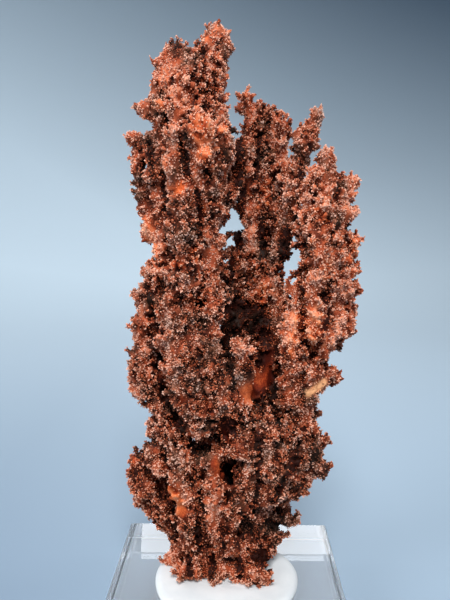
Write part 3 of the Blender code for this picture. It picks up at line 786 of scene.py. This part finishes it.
def build_club(rng):
    """A club with a thin root, a thick head and a blunt, uneven tip."""
    shape = bmesh.new()
    rings = []
    bend = Vector((rng.uniform(-1, 1), rng.uniform(-1, 1), 0)) * SPRIG_BEND * SPRIG_LENGTH
    for height, wide in CLUB_RINGS:
        ring = []
        for k in range(SPRIG_SIDES):
            angle = math.tau * k / SPRIG_SIDES + rng.uniform(-0.25, 0.25)
            radius = SPRIG_WIDTH * wide * rng.uniform(0.75, 1.25)
            spot = Vector((radius * math.cos(angle), radius * math.sin(angle), height * SPRIG_LENGTH))
            ring.append(shape.verts.new(spot + bend * height * height))
        rings.append(ring)
    for low, high in zip(rings, rings[1:]):
        for k in range(SPRIG_SIDES):
            nxt = (k + 1) % SPRIG_SIDES
            shape.faces.new((low[k], low[nxt], high[nxt], high[k]))
    tip = shape.verts.new(bend + Vector((0, 0, SPRIG_LENGTH)))
    root = shape.verts.new((0, 0, CLUB_ROOT * SPRIG_LENGTH))
    for k in range(SPRIG_SIDES):
        nxt = (k + 1) % SPRIG_SIDES
        shape.faces.new((rings[-1][k], rings[-1][nxt], tip))
        shape.faces.new((rings[0][nxt], rings[0][k], root))
    return mesh_of(shape, "club")


rng = random.Random(9)
club_kinds = bpy.data.collections.new("club_kinds")
for k in range(SPRIG_KINDS):
    club_kinds.objects.link(bpy.data.objects.new(f"club_{k}", build_club(rng)))

# %% Say how kinds are scattered over a mesh
MOST_POINTS = 3e7  # points a square metre, more than any spacing here lets through


def random_value(tree, kind, seed, low, high):
    made = node(tree, "FunctionNodeRandomValue", {"data_type": kind}, Min=low, Max=high, Seed=seed)
    return socket(made.outputs, "Value")


def scatter(tree, entry, mesh, kinds, spacing, count, sizes, seed_step, factor, fit=None):
    """Instances of the kinds on Poisson points over the mesh; returns the points and the last node."""
    points = node(
        tree, "GeometryNodeDistributePointsOnFaces", {"distribute_method": "POISSON"}, Mesh=mesh,
        Distance_Min=socket(entry.outputs, spacing), Density_Max=MOST_POINTS, Density_Factor=factor,
        Seed=plus(tree, socket(entry.outputs, "Seed"), seed_step),
    )

    up = node(tree, "ShaderNodeCombineXYZ", Z=socket(entry.outputs, "Upward lean"))
    stray = random_value(tree, "FLOAT_VECTOR", 17, (-1, -1, -1), (1, 1, 1))
    astray = vectors(tree, "SCALE", stray, scale=socket(entry.outputs, "Stray"))
    leaning = vectors(tree, "ADD", socket(points.outputs, "Normal"), up.outputs[0])
    heading = vectors(tree, "ADD", leaning.outputs[0], astray.outputs[0])
    align = node(tree, "FunctionNodeAlignRotationToVector", {"axis": "Z"}, Vector=heading.outputs[0])
    turn = random_value(tree, "FLOAT", 3, 0.0, math.tau)
    spin = node(tree, "FunctionNodeAxisAngleToRotation", Axis=(0, 0, 1), Angle=turn)
    rotate = node(
        tree, "FunctionNodeRotateRotation", {"rotation_space": "LOCAL"},
        Rotation=socket(align.outputs, "Rotation"), Rotate_By=socket(spin.outputs, "Rotation"),
    )

    source = node(
        tree, "GeometryNodeCollectionInfo", Collection=socket(entry.outputs, kinds),
        Separate_Children=True, Reset_Children=True,
    )
    size = random_value(tree, "FLOAT", 5, *sizes)
    place = node(
        tree, "GeometryNodeInstanceOnPoints", Points=socket(points.outputs, "Points"),
        Instance=socket(source.outputs, "Instances"), Pick_Instance=True,
        Instance_Index=random_value(tree, "INT", 7, 0, count - 1),
        Rotation=socket(rotate.outputs, "Rotation"), Scale=times(tree, size, fit) if fit else size,
    )
    return points, place


def joined(tree, core, *scattered):
    """The core and what is scattered on it, as one mesh; returns the node."""
    join = node(tree, "GeometryNodeJoinGeometry")
    tree.links.new(core, socket(join.inputs, "Geometry"))
    for place in scattered:
        wire(tree, place, "Instances", join, "Geometry")
    real = node(tree, "GeometryNodeRealizeInstances")
    wire(tree, join, "Geometry", real, "Geometry")
    return real


print("scattering ready")

# %% Scatter the clubs and melt them in
SKIN_GRAIN = 0.18 * MM
SKIN_TRIANGLES = 170_000
CLUB_SIZES = (0.5, 1.25)
BLUNT_CUT = 0.4  # how much shorter the clubs are at a blunt tip
RIDGE_EDGE = -0.25  # clubs start to stand where a rib's crest number passes this
RIDGE_STEEPNESS = 6.0
SPRIG_INPUTS = [
    ("Club kinds", "Collection", None),
    ("Club spacing", "Float", 0.80 * MM),
    ("Upward lean", "Float", 0.85),
    ("Stray", "Float", 0.25),
    ("Seed", "Int", 1),
]


def build_sprigs(tree, entry):
    core = socket(entry.outputs, "Geometry")
    ridge = times(tree, minus(tree, named(tree, "crest"), RIDGE_EDGE), RIDGE_STEEPNESS, clamp=True)
    cover = times(tree, minus(tree, 1.0, named(tree, "bare")), ridge)
    fit = minus(tree, 1.0, times(tree, named(tree, "blunt"), BLUNT_CUT))
    clubs = scatter(
        tree, entry, core, "Club kinds", "Club spacing", SPRIG_KINDS, CLUB_SIZES, 0, cover, fit,
    )[1]
    return joined(tree, core, clubs)


def melted(mesh, triangles):
    """Core and clubs as one skin, thinned to about this many triangles."""
    dense = whole(remeshed(mesh, SKIN_GRAIN, 1))
    ratio = min(1.0, triangles / (2 * len(dense.polygons)))
    made = modified(dense, ("DECIMATE", {"ratio": ratio}, {}))
    made.shade_smooth()
    return made


sprig_tree = new_tree("sprigs", SPRIG_INPUTS, build_sprigs)
core_faces = sum(len(core.polygons) for core in cores.values())
for step, name in enumerate(LIMBS):
    share = len(cores[name].polygons) / core_faces
    clubbed = run_tree(cores[name], sprig_tree, Club_kinds=club_kinds, Seed=step)
    cores[name] = melted(clubbed, SKIN_TRIANGLES * share)
    print(name, len(cores[name].polygons), "triangles of skin")

# %% [markdown]
# ## Where the light gets in
#
# The hollows of limonite are nearly black and its tips are salmon. Partly that is the stone's own colour,
# as the tips are rubbed and dusty and the hollows hold dark oxide, and partly it is painted shade: the colour
# is darkened where little open sky reaches a point and lightened where much does, beyond what the lamps
# do. The share of open sky over each point tells hollow from tip. Cycles has a node for it, but the
# scattering below needs it as numbers on the mesh, so rays are cast from each vertex over half a sphere
# and the share that gets away is stored. Long rays find the deep hollows, and short ones tell a sprig's
# head from the cleft beside it. The rib tree runs again without any rise, to leave the number of finer
# rows for the granules and for the painted shade between the rows, and the landmarks are painted on.

# %% Measure how open each point lies
SKY_RAYS = 18
SKY_REACH = 6 * MM
CLEFT_REACH = 1.2 * MM
SKY_START = 0.2 * MM
ROW_WIDTH = 1.0 * MM


def sky_directions(count):
    """Directions over the upper half of a sphere, closer together towards its top."""
    turn = math.pi * (3 - math.sqrt(5))
    directions = []
    for k in range(count):
        height = math.sqrt(1 - (k + 0.5) / count)
        wide = math.sqrt(1 - height * height)
        directions.append(Vector((wide * math.cos(turn * k), wide * math.sin(turn * k), height)))
    return directions


def openness(mesh, blockers, directions, reach):
    normals = normals_of(mesh)
    found = np.empty(len(mesh.vertices), np.float32)
    for i, vertex in enumerate(mesh.vertices):
        normal = Vector(normals[i])
        start = vertex.co + normal * SKY_START
        stand = normal.to_track_quat("Z", "Y")
        free = 0
        for direction in directions:
            if blockers.ray_cast(start, stand @ direction, reach)[0] is None:
                free += 1
        found[i] = free / len(directions)
    return found


blockers = tree_of(cores.values())
landmarks = landmarks_on(cores.values())
directions = sky_directions(SKY_RAYS)
for name in LIMBS:
    # The open-sky shares darken the hollows and clefts and lighten what stands free, as painted shade in the
    # crust's colour; the long one also sets where the crust grows.
    store(cores[name], "open", openness(cores[name], blockers, directions, SKY_REACH))
    store(cores[name], "proud", openness(cores[name], blockers, directions, CLEFT_REACH))
    # The finer rows' crest number is also read by the colour, which darkens between the rows as painted
    # shade.
    cores[name] = run_tree(cores[name], rib_tree, Growth=(RIBS[name][0], 0, 1), Rib_width=ROW_WIDTH)
    paint_landmarks(cores[name], landmarks)
print("sky measured with", SKY_RAYS, "rays a point")

# %% [markdown]
# ## Granules
#
# Under a lens the crust is made of blunt crystals that crowd into tiny heads. One head is built here by
# hand: four stubby three-sided crystals, one on top and three in a ring round it. A crumb is a single
# one. Eight kinds of each are enough, because each is turned and sized at random. Each crystal keeps a
# number of its own for colour, and knows its root from its tip.

# %% Build the kinds of crystal heads
HEAD_KINDS = 8
HEAD_RADIUS = 0.12 * MM
CRYSTAL_LENGTH = 0.21 * MM
CRYSTAL_WIDTH = 0.10 * MM
CRYSTAL_ROOT = 0.1 * MM
HEAD_RINGS = ((1, 0), (3, 52))  # how many crystals, and how many degrees they lean out
CRUMB_SIZE = 1.15


def add_crystal(shape, layers, place, heading, size, rng):
    """A stubby crystal with three sides: a root, a ring of three and a tip."""
    stand = heading.to_track_quat("Z", "Y").to_matrix()
    turn = rng.uniform(0, math.tau)
    ring = []
    for k in range(3):
        angle = turn + math.tau * k / 3
        wide = CRYSTAL_WIDTH * size * rng.uniform(0.85, 1.2)
        spot = Vector((wide * math.cos(angle), wide * math.sin(angle), 0.5 * CRYSTAL_LENGTH * size))
        ring.append(shape.verts.new(place + stand @ spot))
    root = shape.verts.new(place - heading * CRYSTAL_ROOT)
    tip = shape.verts.new(place + heading * CRYSTAL_LENGTH * size)
    for k in range(3):
        a, b = ring[k], ring[(k + 1) % 3]
        shape.faces.new((root, b, a))
        shape.faces.new((tip, a, b))
    shade = rng.random()
    # The tip number later darkens a crystal's root and lightens its tip, as painted shade between crystals.
    for vert, height in [(root, 0.0), (tip, 1.0)] + [(v, 0.6) for v in ring]:
        vert[layers["shade"]] = shade
        vert[layers["tip"]] = height


def new_crystals(name, build, rng):
    """An object of crystals with the two numbers that they carry."""
    shape = bmesh.new()
    layers = {key: shape.verts.layers.float.new(key) for key in ("shade", "tip")}
    build(shape, layers, rng)
    return bpy.data.objects.new(name, mesh_of(shape, name))


def build_head(shape, layers, rng):
    """One crystal on top and three round it."""
    for count, lean in HEAD_RINGS:
        turn = rng.uniform(0, math.tau)
        for k in range(count):
            angle = turn + math.tau * (k + rng.uniform(-0.15, 0.15)) / count
            slope = math.radians(lean + rng.uniform(-10, 10))
            heading = Vector((
                math.sin(slope) * math.cos(angle),
                math.sin(slope) * math.sin(angle),
                math.cos(slope),
            ))
            place = heading * HEAD_RADIUS * rng.uniform(0.4, 0.75)
            add_crystal(shape, layers, place, heading, rng.uniform(0.75, 1.25), rng)


def build_crumb(shape, layers, rng):
    add_crystal(shape, layers, Vector((0, 0, 0)), Vector((0, 0, 1)), CRUMB_SIZE, rng)


rng = random.Random(4)
head_kinds = bpy.data.collections.new("head_kinds")
crumb_kinds = bpy.data.collections.new("crumb_kinds")
for k in range(HEAD_KINDS):
    head_kinds.objects.link(new_crystals(f"head_{k}", build_head, rng))
    crumb_kinds.objects.link(new_crystals(f"crumb_{k}", build_crumb, rng))

# %% [markdown]
# ## The rust of the crust
#
# Limonite has no single colour. A granule is anything from grey brown to salmon, clumps lean one way or
# the other, hollows go black, and bare powdery spots glow orange. The material first works out one tone
# from the numbers on the mesh and from noises in Object coordinates. Part of that tone is painted light
# and shade: it is darker in the hollows, at the crystals' roots and between the fine rows, lighter on the
# open tips, raised by painted highlight and lowered by painted shade at landmarks, and raised on limbs that
# the light falls on more. The tone is then read off two colour ramps, a dull one and a rusty one, and a
# veined noise says which of them holds where. A third ramp is the powder: it shows at the bare spots, with
# a ragged rim, and as sparks on a granule here and there. The brightest grains get a pale painted glint,
# and the ledge is tan.

# %% Mix the limonite
EARTH = [  # dull brown crust, from hollow to tip
    (0.0, (0.015, 0.007, 0.004, 1)), (0.25, (0.077, 0.024, 0.010, 1)), (0.5, (0.195, 0.072, 0.040, 1)),
    (0.75, (0.37, 0.176, 0.118, 1)), (1.0, (0.61, 0.40, 0.32, 1)),
]
FLAME = [  # red rust, from hollow to tip
    (0.0, (0.020, 0.003, 0.001, 1)), (0.25, (0.12, 0.019, 0.006, 1)), (0.5, (0.34, 0.064, 0.022, 1)),
    (0.75, (0.58, 0.180, 0.085, 1)), (1.0, (0.76, 0.40, 0.28, 1)),
]
BLAZE = [  # bare powder and the granules dusted with it, from hollow to tip
    (0.0, (0.060, 0.005, 0.001, 1)), (0.3, (0.26, 0.030, 0.007, 1)), (0.55, (0.58, 0.110, 0.028, 1)),
    (0.8, (0.76, 0.22, 0.085, 1)), (1.0, (0.86, 0.44, 0.27, 1)),
]
OCHRE = (0.72, 0.36, 0.17, 1)
PAINTED_GLINT = (0.52, 0.36, 0.28, 1)
MESH_NUMBERS = ("open", "proud", "shade", "clump", "tip", "crest")
TONE_BASE = 0.43
RUSTY_BASE = -1.75
RUSTY_LIFT = 3  # how much more a lifted limb is rusty than bright
VEIN_SHARE, CLUMP_SHARE = 4.5, 0.5  # of the noise and of each head's own number in the rust
PAINTED_GLINT_SHARE = 0.18
GLOW_HEAT = 0.85  # a glow is this much of an ember
RAG = 1.6  # how ragged the powder's rim is
SPARK_LEVEL, SPARK_STEEPNESS, SPARK_HEAT = 0.6, 7.0, 0.55
# In the tone, the crest number darkens the grooves between the fine rows as painted shade, the salmon
# shoulders are lightened as painted highlight, and the gullies and dimmed places are darkened as painted
# shade.
TONE_MARKS = (("crest", 0.5), ("salmon_and_highlight", 0.22), ("glow", 0.12), ("painted_black_shade", -0.7), ("dull_and_shade", -0.18))
RUSTY_MARKS = (("salmon_and_highlight", 0.5), ("glow", 1.6), ("rusty", 1.6), ("dull_and_shade", -0.6))


def shade_attribute(tree, name):
    made = node(tree, "ShaderNodeAttribute", {"attribute_type": "GEOMETRY", "attribute_name": name})
    return made.outputs["Fac"]


def new_material(name):
    """A material with its tree, its shader and the object's own coordinates."""
    material = bpy.data.materials.new(name)
    material.use_nodes = True
    tree = material.node_tree
    return material, tree, tree.nodes["Principled BSDF"], node(tree, "ShaderNodeTexCoord").outputs["Object"]


def noise_of(tree, vector, scale, detail):
    made = node(tree, "ShaderNodeTexNoise", Vector=vector, Scale=scale, Detail=detail, Roughness=0.6)
    return made.outputs["Fac"]


def bump_of(tree, height, strength, distance):
    made = node(tree, "ShaderNodeBump", Height=height, Strength=strength, Distance=distance)
    return made.outputs["Normal"]


def colour_ramp(tree, value, stops):
    made = node(tree, "ShaderNodeValToRGB")
    band = made.color_ramp
    while len(band.elements) < len(stops):
        band.elements.new(0.5)
    for element, (place, colour) in zip(band.elements, stops):
        element.position = place
        element.color = colour
    tree.links.new(value, made.inputs[0])
    return made.outputs["Color"]


def mix_colour(tree, factor, a, b):
    made = node(tree, "ShaderNodeMix", {"data_type": "RGBA"}, Factor=factor, A=a, B=b)
    return socket(made.outputs, "Result")


def limonite_material(name, lift):
    """The crust; lift is painted light that lightens a limb the light falls on more, and makes it rustier."""
    material, tree, shader, place = new_material(name)
    marks = {name: shade_attribute(tree, name) for name in MESH_NUMBERS + COLOUR_KINDS}
    drift, grain, vein, mottle, rag, flicker = (
        noise_of(tree, place, scale, detail)
        for scale, detail in ((220, 2), (5200, 2), (420, 3), (800, 2), (1100, 3), (640, 2))
    )

    tone = lift + TONE_BASE
    # Painted shade: open and proud darken the hollows and clefts, and tip darkens each crystal's root and the
    # bare skin between crystals and lightens the tips; clump, shade, drift, grain and mottle are tone that
    # differs at random.
    for value, middle, share in (  # each moves the tone up or down from its own middle
        (marks["clump"], 0.5, 0.3), (marks["shade"], 0.5, 0.34), (drift, 0.5, 0.45), (grain, 0.5, 0.6),
        (mottle, 0.5, 0.5), (marks["tip"], 0.5, 0.3), (marks["open"], 0.6, 0.5), (marks["proud"], 0.6, 0.75),
    ):
        tone = plus(tree, tone, times(tree, minus(tree, value, middle), share))
    for kind, share in TONE_MARKS:
        tone = plus(tree, tone, times(tree, marks[kind], share))
    tone = plus(tree, tone, 0.0, clamp=True)
    rusty = plus(tree, times(tree, vein, VEIN_SHARE), times(tree, marks["clump"], CLUMP_SHARE))
    for kind, share in RUSTY_MARKS:
        rusty = plus(tree, rusty, times(tree, marks[kind], share))
    rusty = plus(tree, rusty, lift * RUSTY_LIFT + RUSTY_BASE, clamp=True)
    colour = mix_colour(tree, rusty, colour_ramp(tree, tone, EARTH), colour_ramp(tree, tone, FLAME))
    # Painted glint: the brightest grains are mixed towards a pale colour, in place of highlights on their
    # facets.
    glint = minus(tree, times(tree, grain, 2.2), 1.1, clamp=True)
    colour = mix_colour(tree, times(tree, glint, times(tree, tone, PAINTED_GLINT_SHARE)), colour, PAINTED_GLINT)
    ragged = times(tree, minus(tree, rag, 0.5), RAG)
    hot = plus(tree, marks["ember"], times(tree, marks["glow"], GLOW_HEAT))
    fire = times(tree, plus(tree, hot, ragged), hot, clamp=True)
    spark = times(tree, minus(tree, flicker, SPARK_LEVEL), SPARK_STEEPNESS, clamp=True)
    fire = maths(tree, "MAXIMUM", fire, times(tree, spark, SPARK_HEAT))
    colour = mix_colour(tree, fire, colour, colour_ramp(tree, tone, BLAZE))
    sand = times(tree, marks["ochre"], plus(tree, tone, 0.6), clamp=True)
    colour = mix_colour(tree, sand, colour, OCHRE)
    feed_all(
        tree, shader, Base_Color=colour, Specular_IOR_Level=0.12,
        Roughness=plus(tree, times(tree, grain, 0.35), 0.5), Normal=bump_of(tree, grain, 0.5, 0.03 * MM),
    )
    return material


# By limb: painted light that lightens the limbs the light falls on more, the right spire most, and a share
# more rust.
LIGHT_AND_RUST_LIFTS = {
    "rootstock": 0.03, "right_fan": 0.01, "left_lobe": 0.0, "left_flank": 0.02,
    "centre_sprig": 0.02, "left_spire": 0.05, "middle_spire": 0.04, "right_spire": 0.10,
}
crusts = {name: limonite_material(name + "_limonite", lift) for name, lift in LIGHT_AND_RUST_LIFTS.items()}
print("limonite mixed for", len(crusts), "limbs")

# %% [markdown]
# ## The crust
#
# Thousands of heads and crumbs have to sit on a surface, which is what Geometry Nodes are for. Poisson
# points keep a least distance, so the heads crowd without piling up. A head stands along the surface's
# normal and leans upwards, as the real ones grow. Crumbs fill the ground between the heads. Both stand
# closest along the fine rows, thin out into the hollows, and leave the powdery spots bare.

# %% Grow the crust on each core
CRUST_INPUTS = [
    ("Head kinds", "Collection", None),
    ("Crumb kinds", "Collection", None),
    ("Head spacing", "Float", 0.46 * MM),
    ("Crumb spacing", "Float", 0.255 * MM),
    ("Upward lean", "Float", 0.35),
    ("Stray", "Float", 0.5),
    ("Material", "Material", None),
    ("Seed", "Int", 1),
]
HEAD_SIZES = (0.7, 1.25)
CRUMB_SIZES = (0.6, 1.2)
BETWEEN_ROWS = 0.4  # the share of the crust that still grows between the rows
ROW_EDGE = -0.12  # a row starts where its crest number passes this
ROW_STEEPNESS = 8.0
POWDER_CUT = 1.1  # how strongly powder keeps the crust off
HEAD_SKY, CRUMB_SKY = 0.16, 0.12  # the share of open sky that heads and crumbs start to grow at
SKY_STEEPNESS = 5.0


def clumped(tree, entry, core, kinds, spacing, sizes, seed_step, factor):
    """Scattered kinds, each with a number of its own for colour."""
    points, place = scatter(tree, entry, core, kinds, spacing, HEAD_KINDS, sizes, seed_step, factor)
    clump = store_node(tree, "clump", points, "Points", random_value(tree, "FLOAT", 13, 0.0, 1.0))
    wire(tree, clump, "Geometry", place, "Points")
    return place


def build_crust(tree, entry):
    core = socket(entry.outputs, "Geometry")
    open_sky = named(tree, "open")
    grown = minus(tree, 1.0, times(tree, named(tree, "powder"), POWDER_CUT), clamp=True)
    in_row = times(tree, minus(tree, named(tree, "crest"), ROW_EDGE), ROW_STEEPNESS, clamp=True)
    grown = times(tree, grown, plus(tree, times(tree, in_row, 1 - BETWEEN_ROWS), BETWEEN_ROWS))
    head_cover, crumb_cover = (
        times(tree, times(tree, minus(tree, open_sky, edge), SKY_STEEPNESS, clamp=True), grown)
        for edge in (HEAD_SKY, CRUMB_SKY)
    )
    heads = clumped(tree, entry, core, "Head kinds", "Head spacing", HEAD_SIZES, 0, head_cover)
    crumbs = clumped(tree, entry, core, "Crumb kinds", "Crumb spacing", CRUMB_SIZES, 11, crumb_cover)
    paint = node(tree, "GeometryNodeSetMaterial")
    wire(tree, joined(tree, core, heads, crumbs), "Geometry", paint, "Geometry")
    wire(tree, entry, "Material", paint, "Material")
    return paint


crust_tree = new_tree("crust", CRUST_INPUTS, build_crust)
for step, name in enumerate(LIMBS):
    mesh = run_tree(
        cores[name], crust_tree,
        Head_kinds=head_kinds, Crumb_kinds=crumb_kinds, Material=crusts[name], Seed=20 + step,
    )
    mesh.name = name + "_crust"
    mesh.calc_loop_triangles()
    limb = bpy.data.objects.new(name + "_crust", mesh)
    scene.collection.objects.link(limb)
    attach(limb, "root")
    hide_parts(name)
    print(name, len(mesh.loop_triangles), "triangles")
for kinds in (club_kinds, head_kinds, crumb_kinds):
    for kind in list(kinds.objects):
        bpy.data.objects.remove(kind, do_unlink=True)
    bpy.data.collections.remove(kinds)

# %% [markdown]
# ## The clear block
#
# The block is cast acrylic with polished faces. Its solid already has the right shape, with a narrow
# bevel along each edge, so it stays and only gets its material: full transmission and the refractive
# index of acrylic. Only the faces are polished. The bevels still have the cutter's matt finish, so they
# scatter light and draw the block's edges in white. A face of a bevel is one that points along no axis.

# %% Polish the block
ACRYLIC_IOR = 1.49
ACRYLIC_TINT = (0.97, 0.985, 1.0, 1)
WIPE_ROUGHNESS = 0.12
BEVEL_ROUGHNESS = 0.45
SQUARE_FACE = 0.9  # a face's normal has at least this much of one axis, squared, unless it is a bevel


def acrylic_material():
    material, tree, shader, place = new_material("clear_acrylic")
    wipe = noise_of(tree, place, 900, 3)
    rough = times(tree, minus(tree, wipe, 0.5, clamp=True), WIPE_ROUGHNESS)
    facing = node(tree, "ShaderNodeSeparateXYZ")
    tree.links.new(node(tree, "ShaderNodeTexCoord").outputs["Normal"], facing.inputs[0])
    squares = [maths(tree, "POWER", facing.outputs[axis], 2.0) for axis in "XYZ"]
    flat = maths(tree, "MAXIMUM", maths(tree, "MAXIMUM", squares[0], squares[1]), squares[2])
    bevel = maths(tree, "LESS_THAN", flat, SQUARE_FACE)
    rough = plus(tree, rough, times(tree, bevel, BEVEL_ROUGHNESS))
    feed_all(
        tree, shader, Base_Color=ACRYLIC_TINT, Transmission_Weight=1.0, IOR=ACRYLIC_IOR, Roughness=rough,
    )
    return material


block = frame["nodes"]["acrylic_block"]
block.data.materials.clear()
block.data.materials.append(acrylic_material())
print("block polished")

# %% [markdown]
# ## The putty pad
#
# The putty was rolled, set on the block and pressed flat, so it is nearly round, its rim sags outwards
# and its top isn't quite even. A lathe profile would be too true, so rings of points are laid from the
# middle out and their radius and height wander slowly round the pad.

# %% Press the pad
PAD_RADIUS = (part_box("white_pad")[1][0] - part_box("white_pad")[0][0]) / 2
PAD_TURNS = 128
PAD_HEIGHT = 1.3 * MM
RIM_START = 0.9  # of the radius: where the flat top turns into the round rim
RIM_MIDDLE = 0.52  # of the height
PUTTY = [(0.3, (0.60, 0.63, 0.65, 1)), (0.7, (0.68, 0.70, 0.71, 1))]


def pad_section():
    """The pad's half section from the middle of its top, round the rim, to the middle of its underside."""
    section = [(PAD_RADIUS * share, PAD_HEIGHT) for share in np.linspace(0, RIM_START, 24)]
    for angle in np.linspace(90, -60, 11):
        bulge = math.radians(angle)
        section.append((
            PAD_RADIUS * (RIM_START + (1 - RIM_START) * math.cos(bulge)),
            PAD_HEIGHT * (RIM_MIDDLE + (1 - RIM_MIDDLE) * math.sin(bulge)),
        ))
    return section + [(PAD_RADIUS * 0.93, 0.0), (0.0, 0.0)]


def press_pad():
    shape = bmesh.new()
    section = pad_section()
    rings = []
    for radius, height in section:
        ring = []
        for k in range(PAD_TURNS):
            angle = math.tau * k / PAD_TURNS
            wander = 1 + 0.006 * math.sin(3 * angle + 1) + 0.004 * math.sin(7 * angle)
            swell = 0.06 * MM * math.sin(2 * angle + radius / MM) if height > 0.5 * PAD_HEIGHT else 0
            spot = Vector((radius * wander * math.cos(angle), radius * wander * math.sin(angle), 0))
            ring.append(shape.verts.new(spot + Vector((0, 0, BLOCK_TOP + height + swell))))
        rings.append(ring)
    for inner, outer in zip(rings, rings[1:]):
        for k in range(PAD_TURNS):
            nxt = (k + 1) % PAD_TURNS
            shape.faces.new((inner[k], outer[k], outer[nxt], inner[nxt]))
    bmesh.ops.remove_doubles(shape, verts=shape.verts, dist=WELD)
    bmesh.ops.recalc_face_normals(shape, faces=shape.faces)
    mesh = mesh_of(shape, "putty_pad")
    mesh.shade_smooth()
    return mesh


def putty_material():
    material, tree, shader, place = new_material("white_putty")
    feed_all(
        tree, shader, Base_Color=colour_ramp(tree, noise_of(tree, place, 260, 3), PUTTY), Roughness=0.5,
        Subsurface_Weight=0.25, Subsurface_Radius=(1, 1, 1), Subsurface_Scale=0.8 * MM,
        Normal=bump_of(tree, noise_of(tree, place, 1400, 3), 0.3, 0.05 * MM),
    )
    return material


pad = bpy.data.objects.new("putty_pad", press_pad())
scene.collection.objects.link(pad)
pad.data.materials.append(putty_material())
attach(pad, "root")
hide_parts("white_pad")
print("pad", round(2 * PAD_RADIUS / MM, 1), "mm across")

# %% [markdown]
# ## Stage and light
#
# A small shiny block shows everything round it, so the stage is a pale bowl that looks the same from all
# sides: a flat floor that curves up into a wall. Its paper is painted with shade: darker towards the front
# of the floor, more so on the left, and falling away into a darker blue grey towards the top and the
# right. The light is soft, from two lamps in front and one overhead, and a weak one on the wall. Clear
# acrylic has no colour of its own to show, so two strips at the sides brighten its edges, a panel behind
# lies mirrored in its top, and a faint one lights it from below.

# %% Set the stage
FLOOR_RADIUS = 0.22
WALL_RADIUS = 0.5
WALL_HEIGHT = 0.9
# The far colour is the paper; the others are painted shade on it.
PAPER_FAR = (0.58, 0.70, 0.79, 1)
PAPER_LEFT_SHADE = (0.17, 0.235, 0.315, 1)
PAPER_RIGHT_SHADE = (0.275, 0.36, 0.45, 1)
PAPER_SHADE = (0.055, 0.09, 0.135, 1)


def bowl_mesh():
    section = [(0.0, 0.0), (FLOOR_RADIUS, 0.0)]
    curve = WALL_RADIUS - FLOOR_RADIUS
    for angle in np.linspace(0, 90, 13)[1:]:
        lift = math.radians(angle)
        section.append((FLOOR_RADIUS + curve * math.sin(lift), curve * (1 - math.cos(lift))))
    section.append((WALL_RADIUS, WALL_HEIGHT))
    shape = bmesh.new()
    verts = [shape.verts.new((x, 0, z - 0.1 * MM)) for x, z in section]
    edges = [shape.edges.new(pair) for pair in zip(verts, verts[1:])]
    bmesh.ops.spin(
        shape, geom=verts + edges, axis=(0, 0, 1), cent=(0, 0, 0),
        dvec=(0, 0, 0), angle=math.tau, steps=96, use_merge=True,
    )
    bmesh.ops.remove_doubles(shape, verts=shape.verts, dist=0.01 * MM)
    mesh = mesh_of(shape, "stage")
    mesh.shade_smooth()
    return mesh


def stage_material():
    """Pale blue paper with painted shade to the front and the left, and towards the top and the right."""
    material, tree, shader, place = new_material("stage_paper")
    split = node(tree, "ShaderNodeSeparateXYZ")
    tree.links.new(place, split.inputs[0])
    far = maths(tree, "DIVIDE", split.outputs["Y"], 0.30, clamp=True)
    side = plus(tree, times(tree, split.outputs["X"], 12.0), 0.6, clamp=True)
    near = mix_colour(tree, side, PAPER_LEFT_SHADE, PAPER_RIGHT_SHADE)
    paper = mix_colour(tree, far, near, PAPER_FAR)
    across = times(tree, split.outputs["X"], 0.6)
    # Painted shade: darker towards the top and the right.
    dull_and_shade = maths(tree, "DIVIDE", plus(tree, split.outputs["Z"], across), 0.36, clamp=True)
    colour = mix_colour(tree, dull_and_shade, paper, PAPER_SHADE)
    feed_all(tree, shader, Base_Color=colour, Roughness=0.9, Specular_IOR_Level=0.1)
    return material


stage = bpy.data.objects.new("stage", bowl_mesh())
stage.data.materials.append(stage_material())
scene.collection.objects.link(stage)
print("stage set")


# %% Light it
def add_lamp(name, place, size, power, aim=(0, 0, 0.045)):
    """A soft lamp of this width and height that faces aim and doesn't show itself."""
    lamp = bpy.data.lights.new(name, "AREA")
    lamp.shape = "RECTANGLE"
    lamp.size, lamp.size_y = size
    lamp.energy = power
    obj = bpy.data.objects.new(name, lamp)
    obj.location = place
    heading = Vector(aim) - obj.location
    obj.rotation_euler = heading.to_track_quat("-Z", "Y").to_euler()
    obj.visible_camera = False
    scene.collection.objects.link(obj)


add_lamp("key_lamp", (0.01, -0.25, 0.33), (0.12, 0.12), 2.0)
add_lamp("fill_lamp", (-0.26, -0.18, 0.20), (0.14, 0.14), 0.5)
add_lamp("top_lamp", (0.0, 0.12, 0.42), (0.18, 0.18), 0.7)
add_lamp("left_strip", (-0.32, 0.05, 0.16), (0.06, 0.26), 0.25)
add_lamp("right_strip", (0.32, 0.02, 0.16), (0.06, 0.26), 0.25)
add_lamp("back_panel", (0.0005, 0.352, 0.2005), (0.142, 0.022), 0.04, aim=(0, 0, 0.006))
add_lamp("wall_lamp", (-0.08, 0.14, 0.24), (0.2, 0.1), 0.08, aim=(-0.14, 0.5, 0.02))
add_lamp("light_table", (0.0, 0.0, -0.05 * MM), (0.036, 0.036), 0.00105, aim=(0, 0, 0.1))
world = bpy.data.worlds.new("world")
scene.world = world
world.use_nodes = True
background = world.node_tree.nodes["Background"]
background.inputs["Color"].default_value = (0.85, 0.90, 1.0, 1)
background.inputs["Strength"].default_value = 0.15
print("lamps lit")
